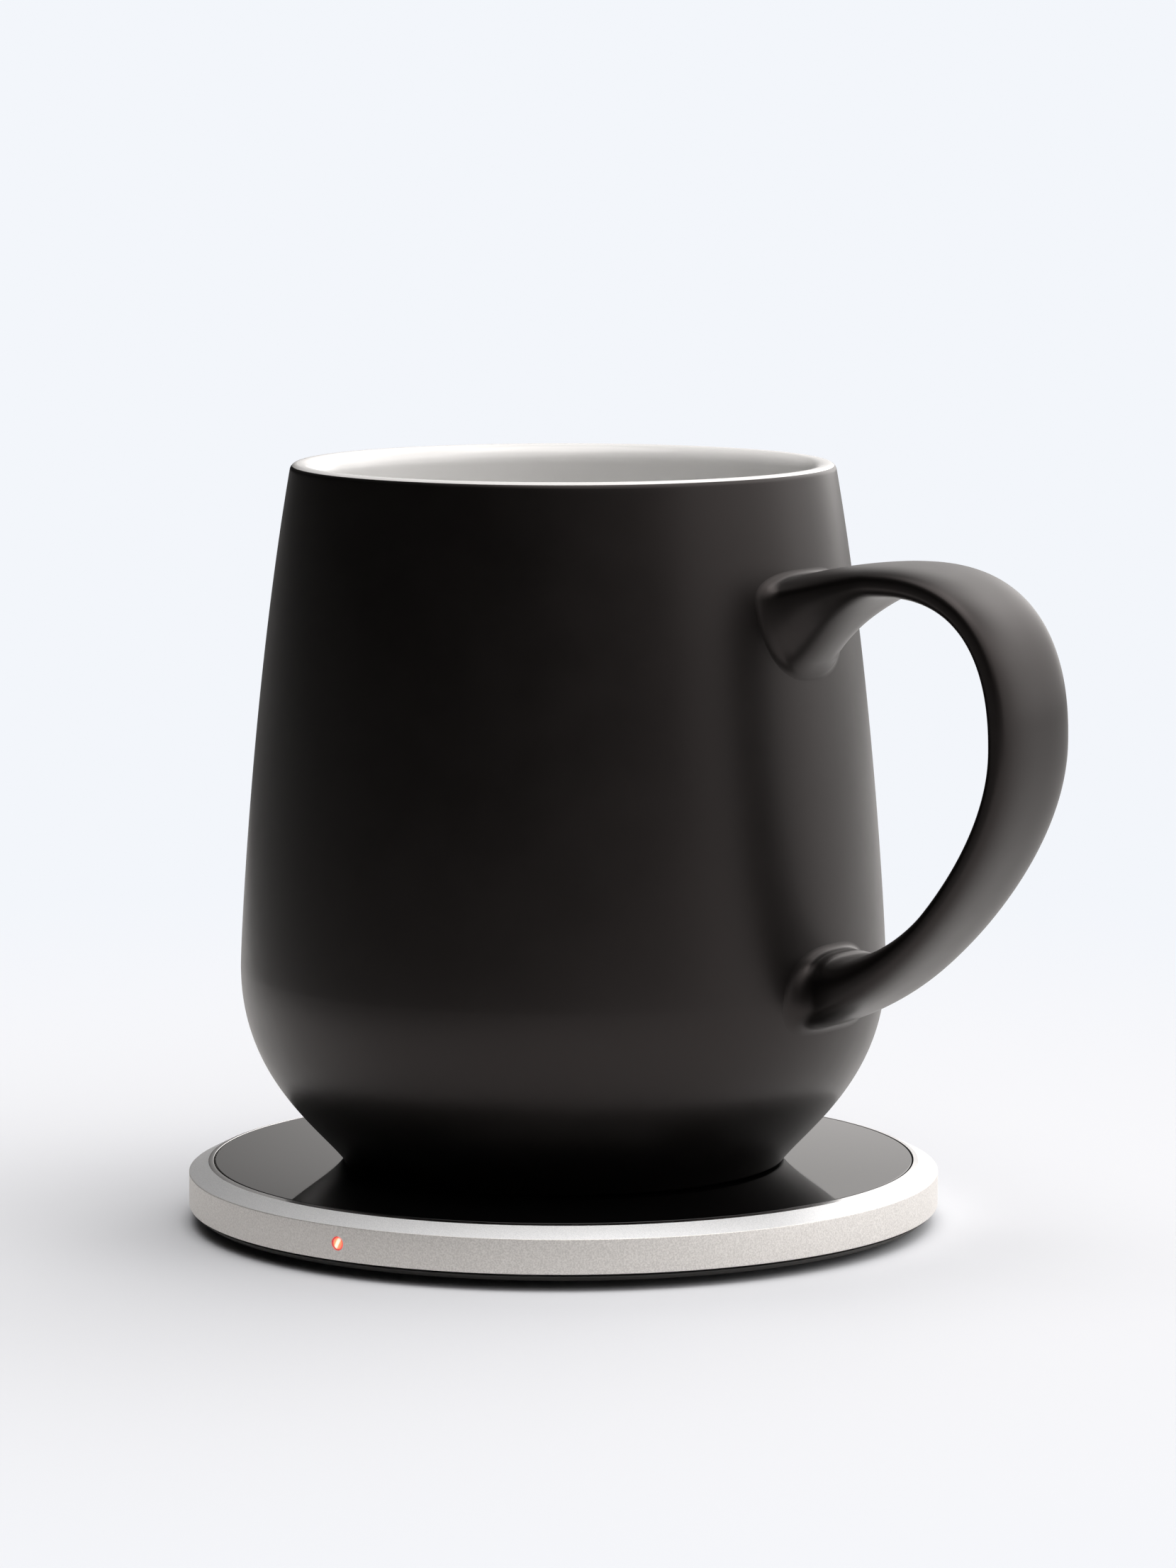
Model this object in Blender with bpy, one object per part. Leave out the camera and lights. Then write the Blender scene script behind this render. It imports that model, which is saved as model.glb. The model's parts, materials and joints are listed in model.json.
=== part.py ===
"""A self heating mug on its round wireless coaster, piece by piece.

The coaster's axis is the world Z axis and its rubber foot stands on Z = 0. The mug stands
on the coaster's glass with its handle along +X. The status light is on the -Y side and
the power inlet on the +Y side. All lengths are in metres.
"""

import math

import bmesh
import bpy
from mathutils import Matrix, Vector

# Clearances and cutting
FIT = 0.0003
BOND = 0.0001
OVERRUN = 0.001

# Smoothness
TURNED_SEGMENTS = 56
HOLE_SEGMENTS = 16
ARC_STEPS = 3
SHARP_ANGLE = math.radians(32)

# Coaster housing: a turned aluminium ring with a satin bevel and a polished land
COASTER_RADIUS = 0.0520
SIDE_HEIGHT = 0.0047
BEVEL_WIDTH = 0.0027
BEVEL_DROP = 0.00135
LAND_WIDTH = 0.0007
LAND_DROP = 0.00015
HOUSING_WALL = 0.0021
HOUSING_SHELF_WIDTH = 0.0034
HOUSING_SHELF_THICKNESS = 0.0010
HOUSING_EDGE_ROUND = 0.0002

# Glass and the tape below it
GLASS_THICKNESS = 0.0010
GLASS_GAP = 0.0002
GLASS_EDGE_ROUND = 0.0001
TAPE_THICKNESS = 0.00025
TAPE_WIDTH = 0.0080

# Coil frame: a flange on the housing's shelf with a well for the ferrite and the coil
FLANGE_THICKNESS = 0.0010
WELL_WALL = 0.0010
WELL_TO_BOSSES = 0.0070
WELL_FLOOR = 0.0007
WELL_HOLE_SHARE = 0.2333
BOSS_CIRCLE_SHARE = 0.774
FRAME_BOSS_RADIUS = 0.0026
BOSS_COUNT = 4
BOSS_FIRST_ANGLE = math.radians(45)

# Transmitter coil and ferrite
TRANSMITTER_WIRE_RADIUS = 0.0005
TRANSMITTER_TURNS = 9
TRANSMITTER_TO_HOLE = 0.0025
TRANSMITTER_TO_WELL = 0.0050
TRANSMITTER_LEAD_TO_HOLE = 0.0015
TRANSMITTER_LEAD_TO_WELL = 0.0020
FERRITE_THICKNESS = 0.0010
COIL_POINTS_PER_TURN = 18

# Bottom cover and foot
COVER_THICKNESS = 0.0010
COVER_EDGE_HEIGHT = 0.00075
COVER_EDGE_INSET = 0.0004
COVER_CHAMFER_WIDTH = 0.0010
COVER_SPIGOT_WALL = 0.0012
COVER_SPIGOT_HEIGHT = 0.00125
COVER_BOSS_RADIUS = 0.0032
COVER_BOSS_HEIGHT = 0.0018
FOOT_PAST_SCREWS = 0.0050
FOOT_STANDOFF = 0.0013
FOOT_RECESS_DEPTH = 0.0003
FOOT_EDGE_ROUND = 0.0003

# Cover screws
SCREW_HEAD_RADIUS = 0.0018
SCREW_HEAD_HEIGHT = 0.0008
SCREW_SHANK_RADIUS = 0.0008
SCREW_TIP_GAP = 0.0007
SCREW_CROSS_WIDTH = 0.0005
SCREW_CROSS_LENGTH = 0.0022
SCREW_CROSS_DEPTH = 0.0004

# Main board and what is on it
MAIN_BOARD_MARGIN = 0.0006
MAIN_BOARD_THICKNESS = 0.0008
CHIP_EDGE_BEVEL = 0.0001
INDUCTOR_SIZE = (0.0060, 0.0060, 0.0022)
CONTROLLER_SIZE = (0.0050, 0.0050, 0.0009)
BRIDGE_CHIP_SIZE = (0.0032, 0.0032, 0.0008)
CAPACITOR_SIZE = (0.0032, 0.0025, 0.0018)
LED_SIZE = (0.0018, 0.0010, 0.0020)
INDUCTOR_ANGLE = math.radians(180)
CONTROLLER_ANGLE = math.radians(270)
BRIDGE_CHIP_ANGLES = (math.radians(67.5), math.radians(112.5))
CAPACITOR_ANGLES = tuple(math.radians(angle) for angle in (-20, -11, 11, 20))
PROBE_RADIUS = 0.0009
PROBE_HEIGHT = 0.0010
PROBE_TO_WELL = 0.0023

# Light pipe in the housing's side
LIGHT_PIPE_RADIUS = 0.00085
LIGHT_PIPE_GAP = 0.0001
LIGHT_PIPE_RECESS = 0.0001
LIGHT_PIPE_INNER_LENGTH = 0.0059

# Power inlet
PORT_WIDTH = 0.00894
PORT_HEIGHT = 0.00326
PORT_DEPTH = 0.00735
PORT_SHELL = 0.0003
PORT_BACK = 0.0008
PORT_RECESS = 0.0004
TONGUE_WIDTH = 0.00669
TONGUE_THICKNESS = 0.0007
TONGUE_LENGTH = 0.0044
TONGUE_BASE_LENGTH = 0.0010

# Mug body, measured from the plane of its foot ring
MUG_FOOT_RADIUS = 0.0306
MUG_FOOT_EDGE_ROUND = 0.0005
MUG_BELLY_RADIUS = 0.04464
MUG_BELLY_HEIGHT = 0.02674
MUG_RIM_RADIUS = 0.03735
MUG_HEIGHT = 0.0964
MUG_WALL = 0.0038
MUG_FOOT_ANGLE = math.radians(35.6)
FOOT_CURVE_REACH = 0.0057
BELLY_CURVE_REACH = 0.0153
WALL_CURVE_REACH = 0.0041
RIM_CURVE_REACH = 0.0301
RIM_LEAN_SHARE = 0.178
LIP_OUTER_ROUND = 0.0011
LIP_INNER_ROUND = 0.0023
BODY_CURVE_STEPS = 7

# Inside of the cup
CUP_FLOOR_THICKNESS = 0.0040
CUP_FLOOR_INSET = 0.0028
BOWL_SIDE_SHARE = 0.64
BOWL_FLOOR_SHARE = 0.62

# Hollow below the cup's floor
HOLLOW_HEIGHT = 0.0094
HOLLOW_SEAT_HEIGHT = 0.0024
HOLLOW_SEAT_WIDTH = 0.0016
MUG_FOOT_WIDTH = 0.0032

# Handle: a strap that swells into a flared root at both ends
HANDLE_CREST_PAST_BELLY = 0.0120
HANDLE_CREST_BELOW_RIM = 0.0135
HANDLE_OUTER_PAST_BELLY = 0.0300
HANDLE_OUTER_BELOW_CREST = 0.0186
HANDLE_TOP_ROOT_BELOW_CREST = 0.0007
HANDLE_LOW_ROOT_BELOW_BELLY = 0.0051
HANDLE_LOW_ROOT_ANGLE = math.radians(32)
HANDLE_CREST_PULL = 0.0060
HANDLE_SHOULDER_PULL = 0.0157
HANDLE_OUTER_PULL_UP = 0.0054
HANDLE_OUTER_PULL_DOWN = 0.0145
HANDLE_LOW_ROOT_PULL = 0.0269
HANDLE_WIDTH_TOP = 0.0174
HANDLE_WIDTH_LOW = 0.0158
HANDLE_THICKNESS_TOP = 0.0049
HANDLE_THICKNESS_LOW = 0.0041
HANDLE_SECTION_POWER = 3.0
HANDLE_ROOT_SINK = 0.0016
HANDLE_TURN_IN = 0.0080
ROOT_SIDE_FLARE = 0.0030
ROOT_BACK_FLARE = 0.0026
TOP_ROOT_INNER_FLARE = 0.0118
LOW_ROOT_INNER_FLARE = 0.0045
ROOT_FLARE_EDGE = 0.0002
HANDLE_RING_POINTS = 20
HANDLE_STEP_AT_ROOT = 0.0005
HANDLE_STEP_GROWTH_SHARE = 0.30
HANDLE_LONGEST_STEP = 0.0045
HANDLE_SPAN_SAMPLES = 60

# Pieces in the mug's hollow
MUG_COVER_RECESS = 0.0006
MUG_COVER_THICKNESS = 0.0012
SEAL_THICKNESS = 0.0004
RECEIVER_WIRE_RADIUS = 0.0004
RECEIVER_TURNS = 8
RECEIVER_TO_HOLE = 0.0026
RECEIVER_TO_FERRITE_EDGE = 0.0029
RECEIVER_LEAD_TO_HOLE = 0.0016
RECEIVER_LEAD_PAST_FERRITE = 0.0013
RECEIVER_FERRITE_THICKNESS = 0.0007
RECEIVER_FERRITE_MARGIN = 0.0030
RECEIVER_FERRITE_HOLE_RADIUS = 0.0042
RECEIVER_BOARD_THICKNESS = 0.0010
RECTIFIER_SIZE = (0.0040, 0.0040, 0.0009)
MUG_CONTROLLER_SIZE = (0.0050, 0.0050, 0.0009)
MUG_CAPACITOR_SIZE = (0.0032, 0.0025, 0.0012)
MUG_COMPONENT_INSET = 0.0118
HEATER_LEAD_RADIUS = 0.0005
HEATER_LEAD_CIRCLE_RADIUS = 0.0080
INSULATION_THICKNESS = 0.0010
HEATER_THICKNESS = 0.0004
THERMAL_PAD_THICKNESS = 0.0003
HEATER_MARGIN = 0.0008
SENSOR_RADIUS = 0.0015
SENSOR_HOLE_GAP = 0.0007

# Levels of the coaster, from the table up
cover_bottom = FOOT_STANDOFF
cover_recess_top = cover_bottom + FOOT_RECESS_DEPTH
cover_top = cover_bottom + COVER_THICKNESS
cover_flange_top = cover_bottom + COVER_EDGE_HEIGHT
cover_boss_top = cover_recess_top + COVER_BOSS_HEIGHT
housing_bottom = cover_flange_top + FIT
side_top = housing_bottom + SIDE_HEIGHT
bevel_top = side_top + BEVEL_DROP
coaster_top = bevel_top + LAND_DROP
glass_bottom = coaster_top - GLASS_THICKNESS
tape_top = glass_bottom - BOND
tape_bottom = tape_top - TAPE_THICKNESS
flange_top = tape_bottom - BOND
flange_bottom = flange_top - FLANGE_THICKNESS
shelf_top = flange_bottom - FIT
shelf_bottom = shelf_top - HOUSING_SHELF_THICKNESS
side_middle = (housing_bottom + side_top) / 2
board_bottom = cover_top + FIT
board_top = board_bottom + MAIN_BOARD_THICKNESS
frame_boss_bottom = cover_boss_top + FIT
transmitter_height = flange_top - BOND - FIT - TRANSMITTER_WIRE_RADIUS
ferrite_top = transmitter_height - TRANSMITTER_WIRE_RADIUS - BOND
ferrite_bottom = ferrite_top - FERRITE_THICKNESS
well_floor_top = ferrite_bottom - BOND
well_floor_bottom = well_floor_top - WELL_FLOOR

# Radii of the coaster
land_outer_radius = COASTER_RADIUS - BEVEL_WIDTH
recess_radius = land_outer_radius - LAND_WIDTH
glass_radius = recess_radius - GLASS_GAP
shelf_radius = recess_radius - HOUSING_SHELF_WIDTH
housing_inner_radius = COASTER_RADIUS - HOUSING_WALL
flange_radius = recess_radius - FIT
cover_flange_radius = COASTER_RADIUS - COVER_EDGE_INSET
spigot_radius = housing_inner_radius - FIT
spigot_inner_radius = spigot_radius - COVER_SPIGOT_WALL
main_board_radius = spigot_inner_radius - MAIN_BOARD_MARGIN
boss_circle_radius = main_board_radius * BOSS_CIRCLE_SHARE
foot_radius = boss_circle_radius + FOOT_PAST_SCREWS
well_radius = boss_circle_radius - WELL_TO_BOSSES
well_hole_radius = well_radius * WELL_HOLE_SHARE
well_outer_radius = well_radius + WELL_WALL
transmitter_inner_radius = well_hole_radius + TRANSMITTER_TO_HOLE
transmitter_outer_radius = well_radius - TRANSMITTER_TO_WELL
transmitter_lead_radius = well_hole_radius - TRANSMITTER_LEAD_TO_HOLE
transmitter_lead_reach = well_outer_radius + TRANSMITTER_LEAD_TO_WELL
light_pipe_inner_radius = housing_inner_radius - LIGHT_PIPE_INNER_LENGTH

# Levels of the mug, from the table up
mug_base = coaster_top + FIT
hollow_top = mug_base + HOLLOW_HEIGHT
hollow_seat = mug_base + HOLLOW_SEAT_HEIGHT
cup_floor = hollow_top + CUP_FLOOR_THICKNESS
mug_cover_bottom = mug_base + MUG_COVER_RECESS
mug_cover_top = mug_cover_bottom + MUG_COVER_THICKNESS
receiver_height = mug_cover_top + FIT + RECEIVER_WIRE_RADIUS
receiver_ferrite_bottom = receiver_height + RECEIVER_WIRE_RADIUS + FIT
receiver_ferrite_top = receiver_ferrite_bottom + RECEIVER_FERRITE_THICKNESS
receiver_board_bottom = receiver_ferrite_top + FIT
receiver_board_top = receiver_board_bottom + RECEIVER_BOARD_THICKNESS
thermal_pad_bottom = hollow_top - FIT - THERMAL_PAD_THICKNESS
heater_bottom = thermal_pad_bottom - FIT - HEATER_THICKNESS
insulation_bottom = heater_bottom - FIT - INSULATION_THICKNESS

# Radii and handle places of the mug
hollow_seat_radius = MUG_FOOT_RADIUS - MUG_FOOT_WIDTH
hollow_radius = hollow_seat_radius - HOLLOW_SEAT_WIDTH
cup_floor_radius = hollow_radius - CUP_FLOOR_INSET
receiver_ferrite_radius = hollow_radius - RECEIVER_FERRITE_MARGIN
receiver_inner_radius = RECEIVER_FERRITE_HOLE_RADIUS + RECEIVER_TO_HOLE
receiver_outer_radius = receiver_ferrite_radius - RECEIVER_TO_FERRITE_EDGE
receiver_lead_radius = RECEIVER_FERRITE_HOLE_RADIUS - RECEIVER_LEAD_TO_HOLE
receiver_lead_reach = receiver_ferrite_radius + RECEIVER_LEAD_PAST_FERRITE
mug_component_radius = hollow_radius - MUG_COMPONENT_INSET
heater_radius = hollow_radius - HEATER_MARGIN
sensor_hole_radius = SENSOR_RADIUS + SENSOR_HOLE_GAP
handle_crest_height = mug_base + MUG_HEIGHT - HANDLE_CREST_BELOW_RIM
handle_outer_height = handle_crest_height - HANDLE_OUTER_BELOW_CREST
handle_top_root_height = handle_crest_height - HANDLE_TOP_ROOT_BELOW_CREST
handle_low_root_height = mug_base + MUG_BELLY_HEIGHT - HANDLE_LOW_ROOT_BELOW_BELLY


def clear_scene():
    for item in list(bpy.data.objects):
        bpy.data.objects.remove(item, do_unlink=True)


def material(name, color, roughness, metallic=0.0):
    """A Principled material of one colour, made once for each name."""
    found = bpy.data.materials.get(name)
    if found:
        return found
    made = bpy.data.materials.new(name)
    made.use_nodes = True
    shader = made.node_tree.nodes["Principled BSDF"]
    shader.inputs["Base Color"].default_value = (*color, 1.0)
    shader.inputs["Roughness"].default_value = roughness
    shader.inputs["Metallic"].default_value = metallic
    made.diffuse_color = (*color, 1.0)
    return made


def matte_black_glaze():
    return material("matte_black_glaze", (0.022, 0.020, 0.019), 0.42)


def satin_aluminium():
    return material("satin_aluminium", (0.60, 0.59, 0.58), 0.36, 1.0)


def black_glass():
    return material("black_glass", (0.006, 0.006, 0.007), 0.06)


def black_tape():
    return material("black_tape", (0.02, 0.02, 0.02), 0.8)


def black_plastic():
    return material("black_plastic", (0.025, 0.024, 0.023), 0.5)


def frame_plastic():
    return material("frame_plastic", (0.10, 0.10, 0.11), 0.5)


def foot_rubber():
    return material("foot_rubber", (0.03, 0.03, 0.03), 0.85)


def copper_wire():
    return material("copper_wire", (0.70, 0.30, 0.16), 0.35, 1.0)


def ferrite_ceramic():
    return material("ferrite_ceramic", (0.05, 0.048, 0.05), 0.6)


def board_laminate():
    return material("board_laminate", (0.02, 0.16, 0.07), 0.45)


def chip_resin():
    return material("chip_resin", (0.02, 0.02, 0.022), 0.55)


def capacitor_ceramic():
    return material("capacitor_ceramic", (0.42, 0.30, 0.20), 0.5)


def screw_steel():
    return material("screw_steel", (0.55, 0.55, 0.56), 0.3, 1.0)


def lamp_plastic():
    return material("lamp_plastic", (0.90, 0.16, 0.08), 0.25)


def led_resin():
    return material("led_resin", (0.90, 0.85, 0.75), 0.3)


def silicone_rubber():
    return material("silicone_rubber", (0.55, 0.56, 0.58), 0.7)


def insulation_board():
    return material("insulation_board", (0.72, 0.66, 0.52), 0.8)


def heater_foil():
    return material("heater_foil", (0.52, 0.33, 0.10), 0.4, 0.6)


def object_from_bmesh(shape, name, finish, location=(0, 0, 0), turn=0.0):
    """Turns a bmesh into a smooth shaded object, turned about Z and then placed."""
    bmesh.ops.recalc_face_normals(shape, faces=shape.faces[:])
    mesh = bpy.data.meshes.new(name)
    shape.to_mesh(mesh)
    shape.free()
    mesh.shade_smooth()
    mesh.set_sharp_from_angle(angle=SHARP_ANGLE)
    mesh.materials.append(finish)
    made = bpy.data.objects.new(name, mesh)
    made.location = location
    made.rotation_euler.z = turn
    bpy.context.scene.collection.objects.link(made)
    return made


def arc_corner(before, corner, after, radius):
    """The points of an arc that rounds the corner of an outline."""
    back = (before - corner).normalized()
    onward = (after - corner).normalized()
    half = back.angle(onward) / 2
    reach = radius / math.tan(half)
    middle = corner + (back + onward).normalized() * (radius / math.sin(half))
    start = corner + back * reach - middle
    finish = corner + onward * reach - middle
    sweep = start.angle_signed(finish)
    points = []
    for step in range(ARC_STEPS + 1):
        spoke = start.copy()
        spoke.rotate(Matrix.Rotation(-sweep * step / ARC_STEPS, 2))
        points.append(middle + spoke)
    return points


def rounded(outline):
    """An outline of (x, y) and (x, y, corner radius) entries, with its corners rounded."""
    points = []
    for index, entry in enumerate(outline):
        corner = Vector(entry[:2])
        if len(entry) == 2:
            points.append(corner)
            continue
        before = Vector(outline[index - 1][:2])
        after = Vector(outline[(index + 1) % len(outline)][:2])
        points.extend(arc_corner(before, corner, after, entry[2]))
    return points


def bezier(start, start_pull, end_pull, end, steps):
    """The points of a cubic curve, from its start up to but not at its end."""
    points = []
    for step in range(steps):
        share = step / steps
        rest = 1 - share
        point = start * rest**3 + end * share**3
        point += 3 * rest * share * (start_pull * rest + end_pull * share)
        points.append(point)
    return points


def turned(name, outline, finish, segments=TURNED_SEGMENTS, location=(0, 0, 0)):
    """A turned solid: a closed outline of (radius, height) points, swept round Z."""
    shape = bmesh.new()
    rings = []
    for radius, height in outline:
        if radius == 0:
            rings.append([shape.verts.new((0, 0, height))])
            continue
        ring = []
        for step in range(segments):
            angle = 2 * math.pi * step / segments
            place = (radius * math.cos(angle), radius * math.sin(angle), height)
            ring.append(shape.verts.new(place))
        rings.append(ring)
    for lower, upper in zip(rings, rings[1:] + rings[:1]):
        join_rings(shape, lower, upper)
    return object_from_bmesh(shape, name, finish, location)


def join_rings(shape, lower, upper):
    """Faces between two rings of points, either of which may be a single point."""
    count = max(len(lower), len(upper))
    if count == 1:
        return
    for step in range(count):
        following = (step + 1) % count
        if len(lower) == 1:
            shape.faces.new((lower[0], upper[following], upper[step]))
        elif len(upper) == 1:
            shape.faces.new((lower[step], lower[following], upper[0]))
        else:
            corners = (lower[step], lower[following], upper[following], upper[step])
            shape.faces.new(corners)


def prism(name, outline, bottom, top, finish, location=(0, 0, 0), turn=0.0):
    """An outline in the XY plane, extruded from one height up to another."""
    shape = bmesh.new()
    corners = [shape.verts.new((point[0], point[1], bottom)) for point in outline]
    face = shape.faces.new(corners)
    grown = bmesh.ops.extrude_face_region(shape, geom=[face])
    raised = [item for item in grown["geom"] if isinstance(item, bmesh.types.BMVert)]
    bmesh.ops.translate(shape, verts=raised, vec=(0, 0, top - bottom))
    return object_from_bmesh(shape, name, finish, location, turn)


def circle_outline(radius, segments=HOLE_SEGMENTS):
    """A circle whose first corner is half a step round, clear of the edges that it cuts."""
    points = []
    for step in range(segments):
        angle = 2 * math.pi * (step + 0.5) / segments
        points.append((radius * math.cos(angle), radius * math.sin(angle)))
    return points


def rectangle_outline(width, depth):
    x = width / 2
    y = depth / 2
    return [(-x, -y), (x, -y), (x, y), (-x, y)]


def stadium_outline(width, height):
    """A slot shape: straight top and bottom with half round ends."""
    half_round = height / 2
    straight = width / 2 - half_round
    points = []
    for side, first_angle in ((1, -math.pi / 2), (-1, math.pi / 2)):
        for step in range(HOLE_SEGMENTS // 2 + 1):
            angle = first_angle + 2 * math.pi * step / HOLE_SEGMENTS
            x = side * straight + half_round * math.cos(angle)
            points.append((x, half_round * math.sin(angle)))
    return points


def lay_along_y(made, start):
    """Tips a prism that was made upright so that it runs along -Y from a start point."""
    made.rotation_euler.x = math.pi / 2
    made.location = start
    return made


def boolean(target, other, operation):
    """Adds to a solid, or cuts it, with another object that is kept as a hidden guide."""
    modifier = target.modifiers.new(f"{operation.lower()}_{other.name}", "BOOLEAN")
    modifier.operation = operation
    modifier.solver = "EXACT"
    modifier.object = other
    other.hide_render = True
    other.display_type = "WIRE"


def cut(target, cutter):
    boolean(target, cutter, "DIFFERENCE")


def fuse(target, addition):
    boolean(target, addition, "UNION")


def spot(radius, angle, height=0.0):
    """A point at a radius and an angle round the Z axis."""
    return Vector((radius * math.cos(angle), radius * math.sin(angle), height))


def boss_angles():
    return [BOSS_FIRST_ANGLE + 2 * math.pi * index / BOSS_COUNT for index in range(BOSS_COUNT)]


def component(name, size, bottom, finish, radius, angle):
    """A small bevelled block that stands on a board and faces the board's centre."""
    width, depth, height = size
    place = spot(radius, angle)
    outline = rectangle_outline(width, depth)
    made = prism(name, outline, bottom, bottom + height, finish, place, angle)
    edge = made.modifiers.new("edge", "BEVEL")
    edge.width = CHIP_EDGE_BEVEL
    edge.segments = 1
    return made


def wound_coil(name, finish, size, lead_ends):
    """A flat spiral with both ends led away to a board.

    size is (inner radius, outer radius, turns, wire radius, height). lead_ends is the
    radius of the inner lead, the radius of the outer lead and the height where both end.
    """
    inner_radius, outer_radius, turns, wire_radius, height = size
    inner_lead, outer_lead, lead_height = lead_ends
    bend = 2 * wire_radius
    down = math.copysign(bend, lead_height - height)
    path = [Vector((inner_lead, 0, lead_height)), Vector((inner_lead, 0, height + down))]
    path.append(Vector((inner_lead + bend, 0, height)))
    spiral = []
    count = turns * COIL_POINTS_PER_TURN
    for step in range(count + 1):
        share = step / count
        angle = 2 * math.pi * turns * share
        spiral.append(spot(inner_radius + (outer_radius - inner_radius) * share, angle, height))
    path += spiral
    path.append(Vector((outer_lead - bend, 0, height)))
    path += [Vector((outer_lead, 0, height + down)), Vector((outer_lead, 0, lead_height))]
    curve = bpy.data.curves.new(name, "CURVE")
    curve.dimensions = "3D"
    curve.bevel_depth = wire_radius
    curve.bevel_resolution = 0
    curve.use_fill_caps = True
    spline = curve.splines.new("POLY")
    spline.points.add(len(path) - 1)
    for point, place in zip(spline.points, path):
        point.co = (*place, 1.0)
    curve.materials.append(finish)
    made = bpy.data.objects.new(name, curve)
    bpy.context.scene.collection.objects.link(made)
    print(f"{name}: least gap to itself {least_gap(spiral) - 2 * wire_radius:.5f} m")
    return made


def least_gap(points):
    """The least distance between points of a spiral that are most of a turn apart."""
    apart = COIL_POINTS_PER_TURN // 2
    least = math.inf
    for index, point in enumerate(points):
        for other in points[index + apart :]:
            least = min(least, (point - other).length)
    return least


def housing_ring():
    outline = [
        (COASTER_RADIUS, housing_bottom, HOUSING_EDGE_ROUND),
        (COASTER_RADIUS, side_top),
        (land_outer_radius, bevel_top),
        (recess_radius, coaster_top),
        (recess_radius, shelf_top),
        (shelf_radius, shelf_top),
        (shelf_radius, shelf_bottom),
        (housing_inner_radius, shelf_bottom),
        (housing_inner_radius, housing_bottom),
    ]
    ring = turned("housing_ring", rounded(outline), satin_aluminium())
    cut(ring, port_bay("housing_port_bay"))
    cut(ring, port_mouth_cutter())
    cut(ring, light_pipe_cutter())


def port_bay(name):
    """The space round the inlet, inside the housing's wall."""
    width = PORT_WIDTH + 2 * FIT
    height = PORT_HEIGHT + 2 * FIT
    depth = PORT_DEPTH + FIT
    outline = rectangle_outline(width, height)
    bay = prism(name, outline, 0, depth, black_plastic())
    return lay_along_y(bay, (0, housing_inner_radius, side_middle))


def port_mouth_cutter():
    outline = stadium_outline(PORT_WIDTH + 2 * FIT, PORT_HEIGHT + 2 * FIT)
    depth = HOUSING_WALL + 2 * OVERRUN
    mouth = prism("port_mouth_cutter", outline, 0, depth, black_plastic())
    return lay_along_y(mouth, (0, COASTER_RADIUS + OVERRUN, side_middle))


def light_pipe_cutter():
    radius = LIGHT_PIPE_RADIUS + LIGHT_PIPE_GAP
    length = COASTER_RADIUS + OVERRUN - light_pipe_inner_radius
    drill = prism("light_pipe_cutter", circle_outline(radius), 0, length, black_plastic())
    return lay_along_y(drill, (0, -light_pipe_inner_radius, side_middle))


def top_glass():
    outline = [
        (0, glass_bottom),
        (glass_radius, glass_bottom),
        (glass_radius, coaster_top, GLASS_EDGE_ROUND),
        (0, coaster_top),
    ]
    turned("top_glass", rounded(outline), black_glass())


def glass_tape():
    outer = flange_radius
    inner = outer - TAPE_WIDTH
    outline = [(outer, tape_bottom), (outer, tape_top), (inner, tape_top), (inner, tape_bottom)]
    turned("glass_tape", outline, black_tape())


def coil_frame():
    outline = [
        (well_hole_radius, well_floor_bottom),
        (well_outer_radius, well_floor_bottom),
        (well_outer_radius, flange_bottom),
        (flange_radius, flange_bottom),
        (flange_radius, flange_top),
        (well_radius, flange_top),
        (well_radius, well_floor_top),
        (well_hole_radius, well_floor_top),
    ]
    frame = turned("coil_frame", outline, frame_plastic())
    boss_middle = (flange_bottom + flange_top) / 2
    pilot_top = flange_bottom
    for index, angle in enumerate(boss_angles(), start=1):
        place = spot(boss_circle_radius, angle)
        ring = circle_outline(FRAME_BOSS_RADIUS)
        boss = prism(f"frame_boss_{index}", ring, frame_boss_bottom, boss_middle, frame_plastic(), place)
        fuse(frame, boss)
        hole = circle_outline(SCREW_SHANK_RADIUS + FIT)
        low = frame_boss_bottom - OVERRUN
        pilot = prism(f"frame_pilot_{index}", hole, low, pilot_top, frame_plastic(), place)
        cut(frame, pilot)
    cut(frame, port_bay("frame_port_bay"))
    slot_width = 2 * (TRANSMITTER_WIRE_RADIUS + FIT)
    slot_end = transmitter_lead_reach + slot_width / 2
    slot_start = well_radius - OVERRUN
    slot = rectangle_outline(slot_end - slot_start, slot_width)
    place = Vector(((slot_start + slot_end) / 2, 0, 0))
    low = transmitter_height - slot_width / 2
    high = flange_top + OVERRUN
    cut(frame, prism("lead_slot", slot, low, high, frame_plastic(), place))


def transmitter():
    outline = [
        (well_hole_radius, ferrite_bottom),
        (well_radius - FIT, ferrite_bottom),
        (well_radius - FIT, ferrite_top),
        (well_hole_radius, ferrite_top),
    ]
    turned("transmitter_ferrite", outline, ferrite_ceramic())
    size = (
        transmitter_inner_radius,
        transmitter_outer_radius,
        TRANSMITTER_TURNS,
        TRANSMITTER_WIRE_RADIUS,
        transmitter_height,
    )
    lead_ends = (transmitter_lead_radius, transmitter_lead_reach, board_top + BOND)
    wound_coil("transmitter_coil", copper_wire(), size, lead_ends)
    low = ferrite_top + BOND
    bead = [(0, low), (PROBE_RADIUS, low), (PROBE_RADIUS, low + PROBE_HEIGHT), (0, low + PROBE_HEIGHT)]
    place = spot(well_radius - PROBE_TO_WELL, math.pi)
    turned("glass_temperature_sensor", bead, chip_resin(), HOLE_SEGMENTS, place)


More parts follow.
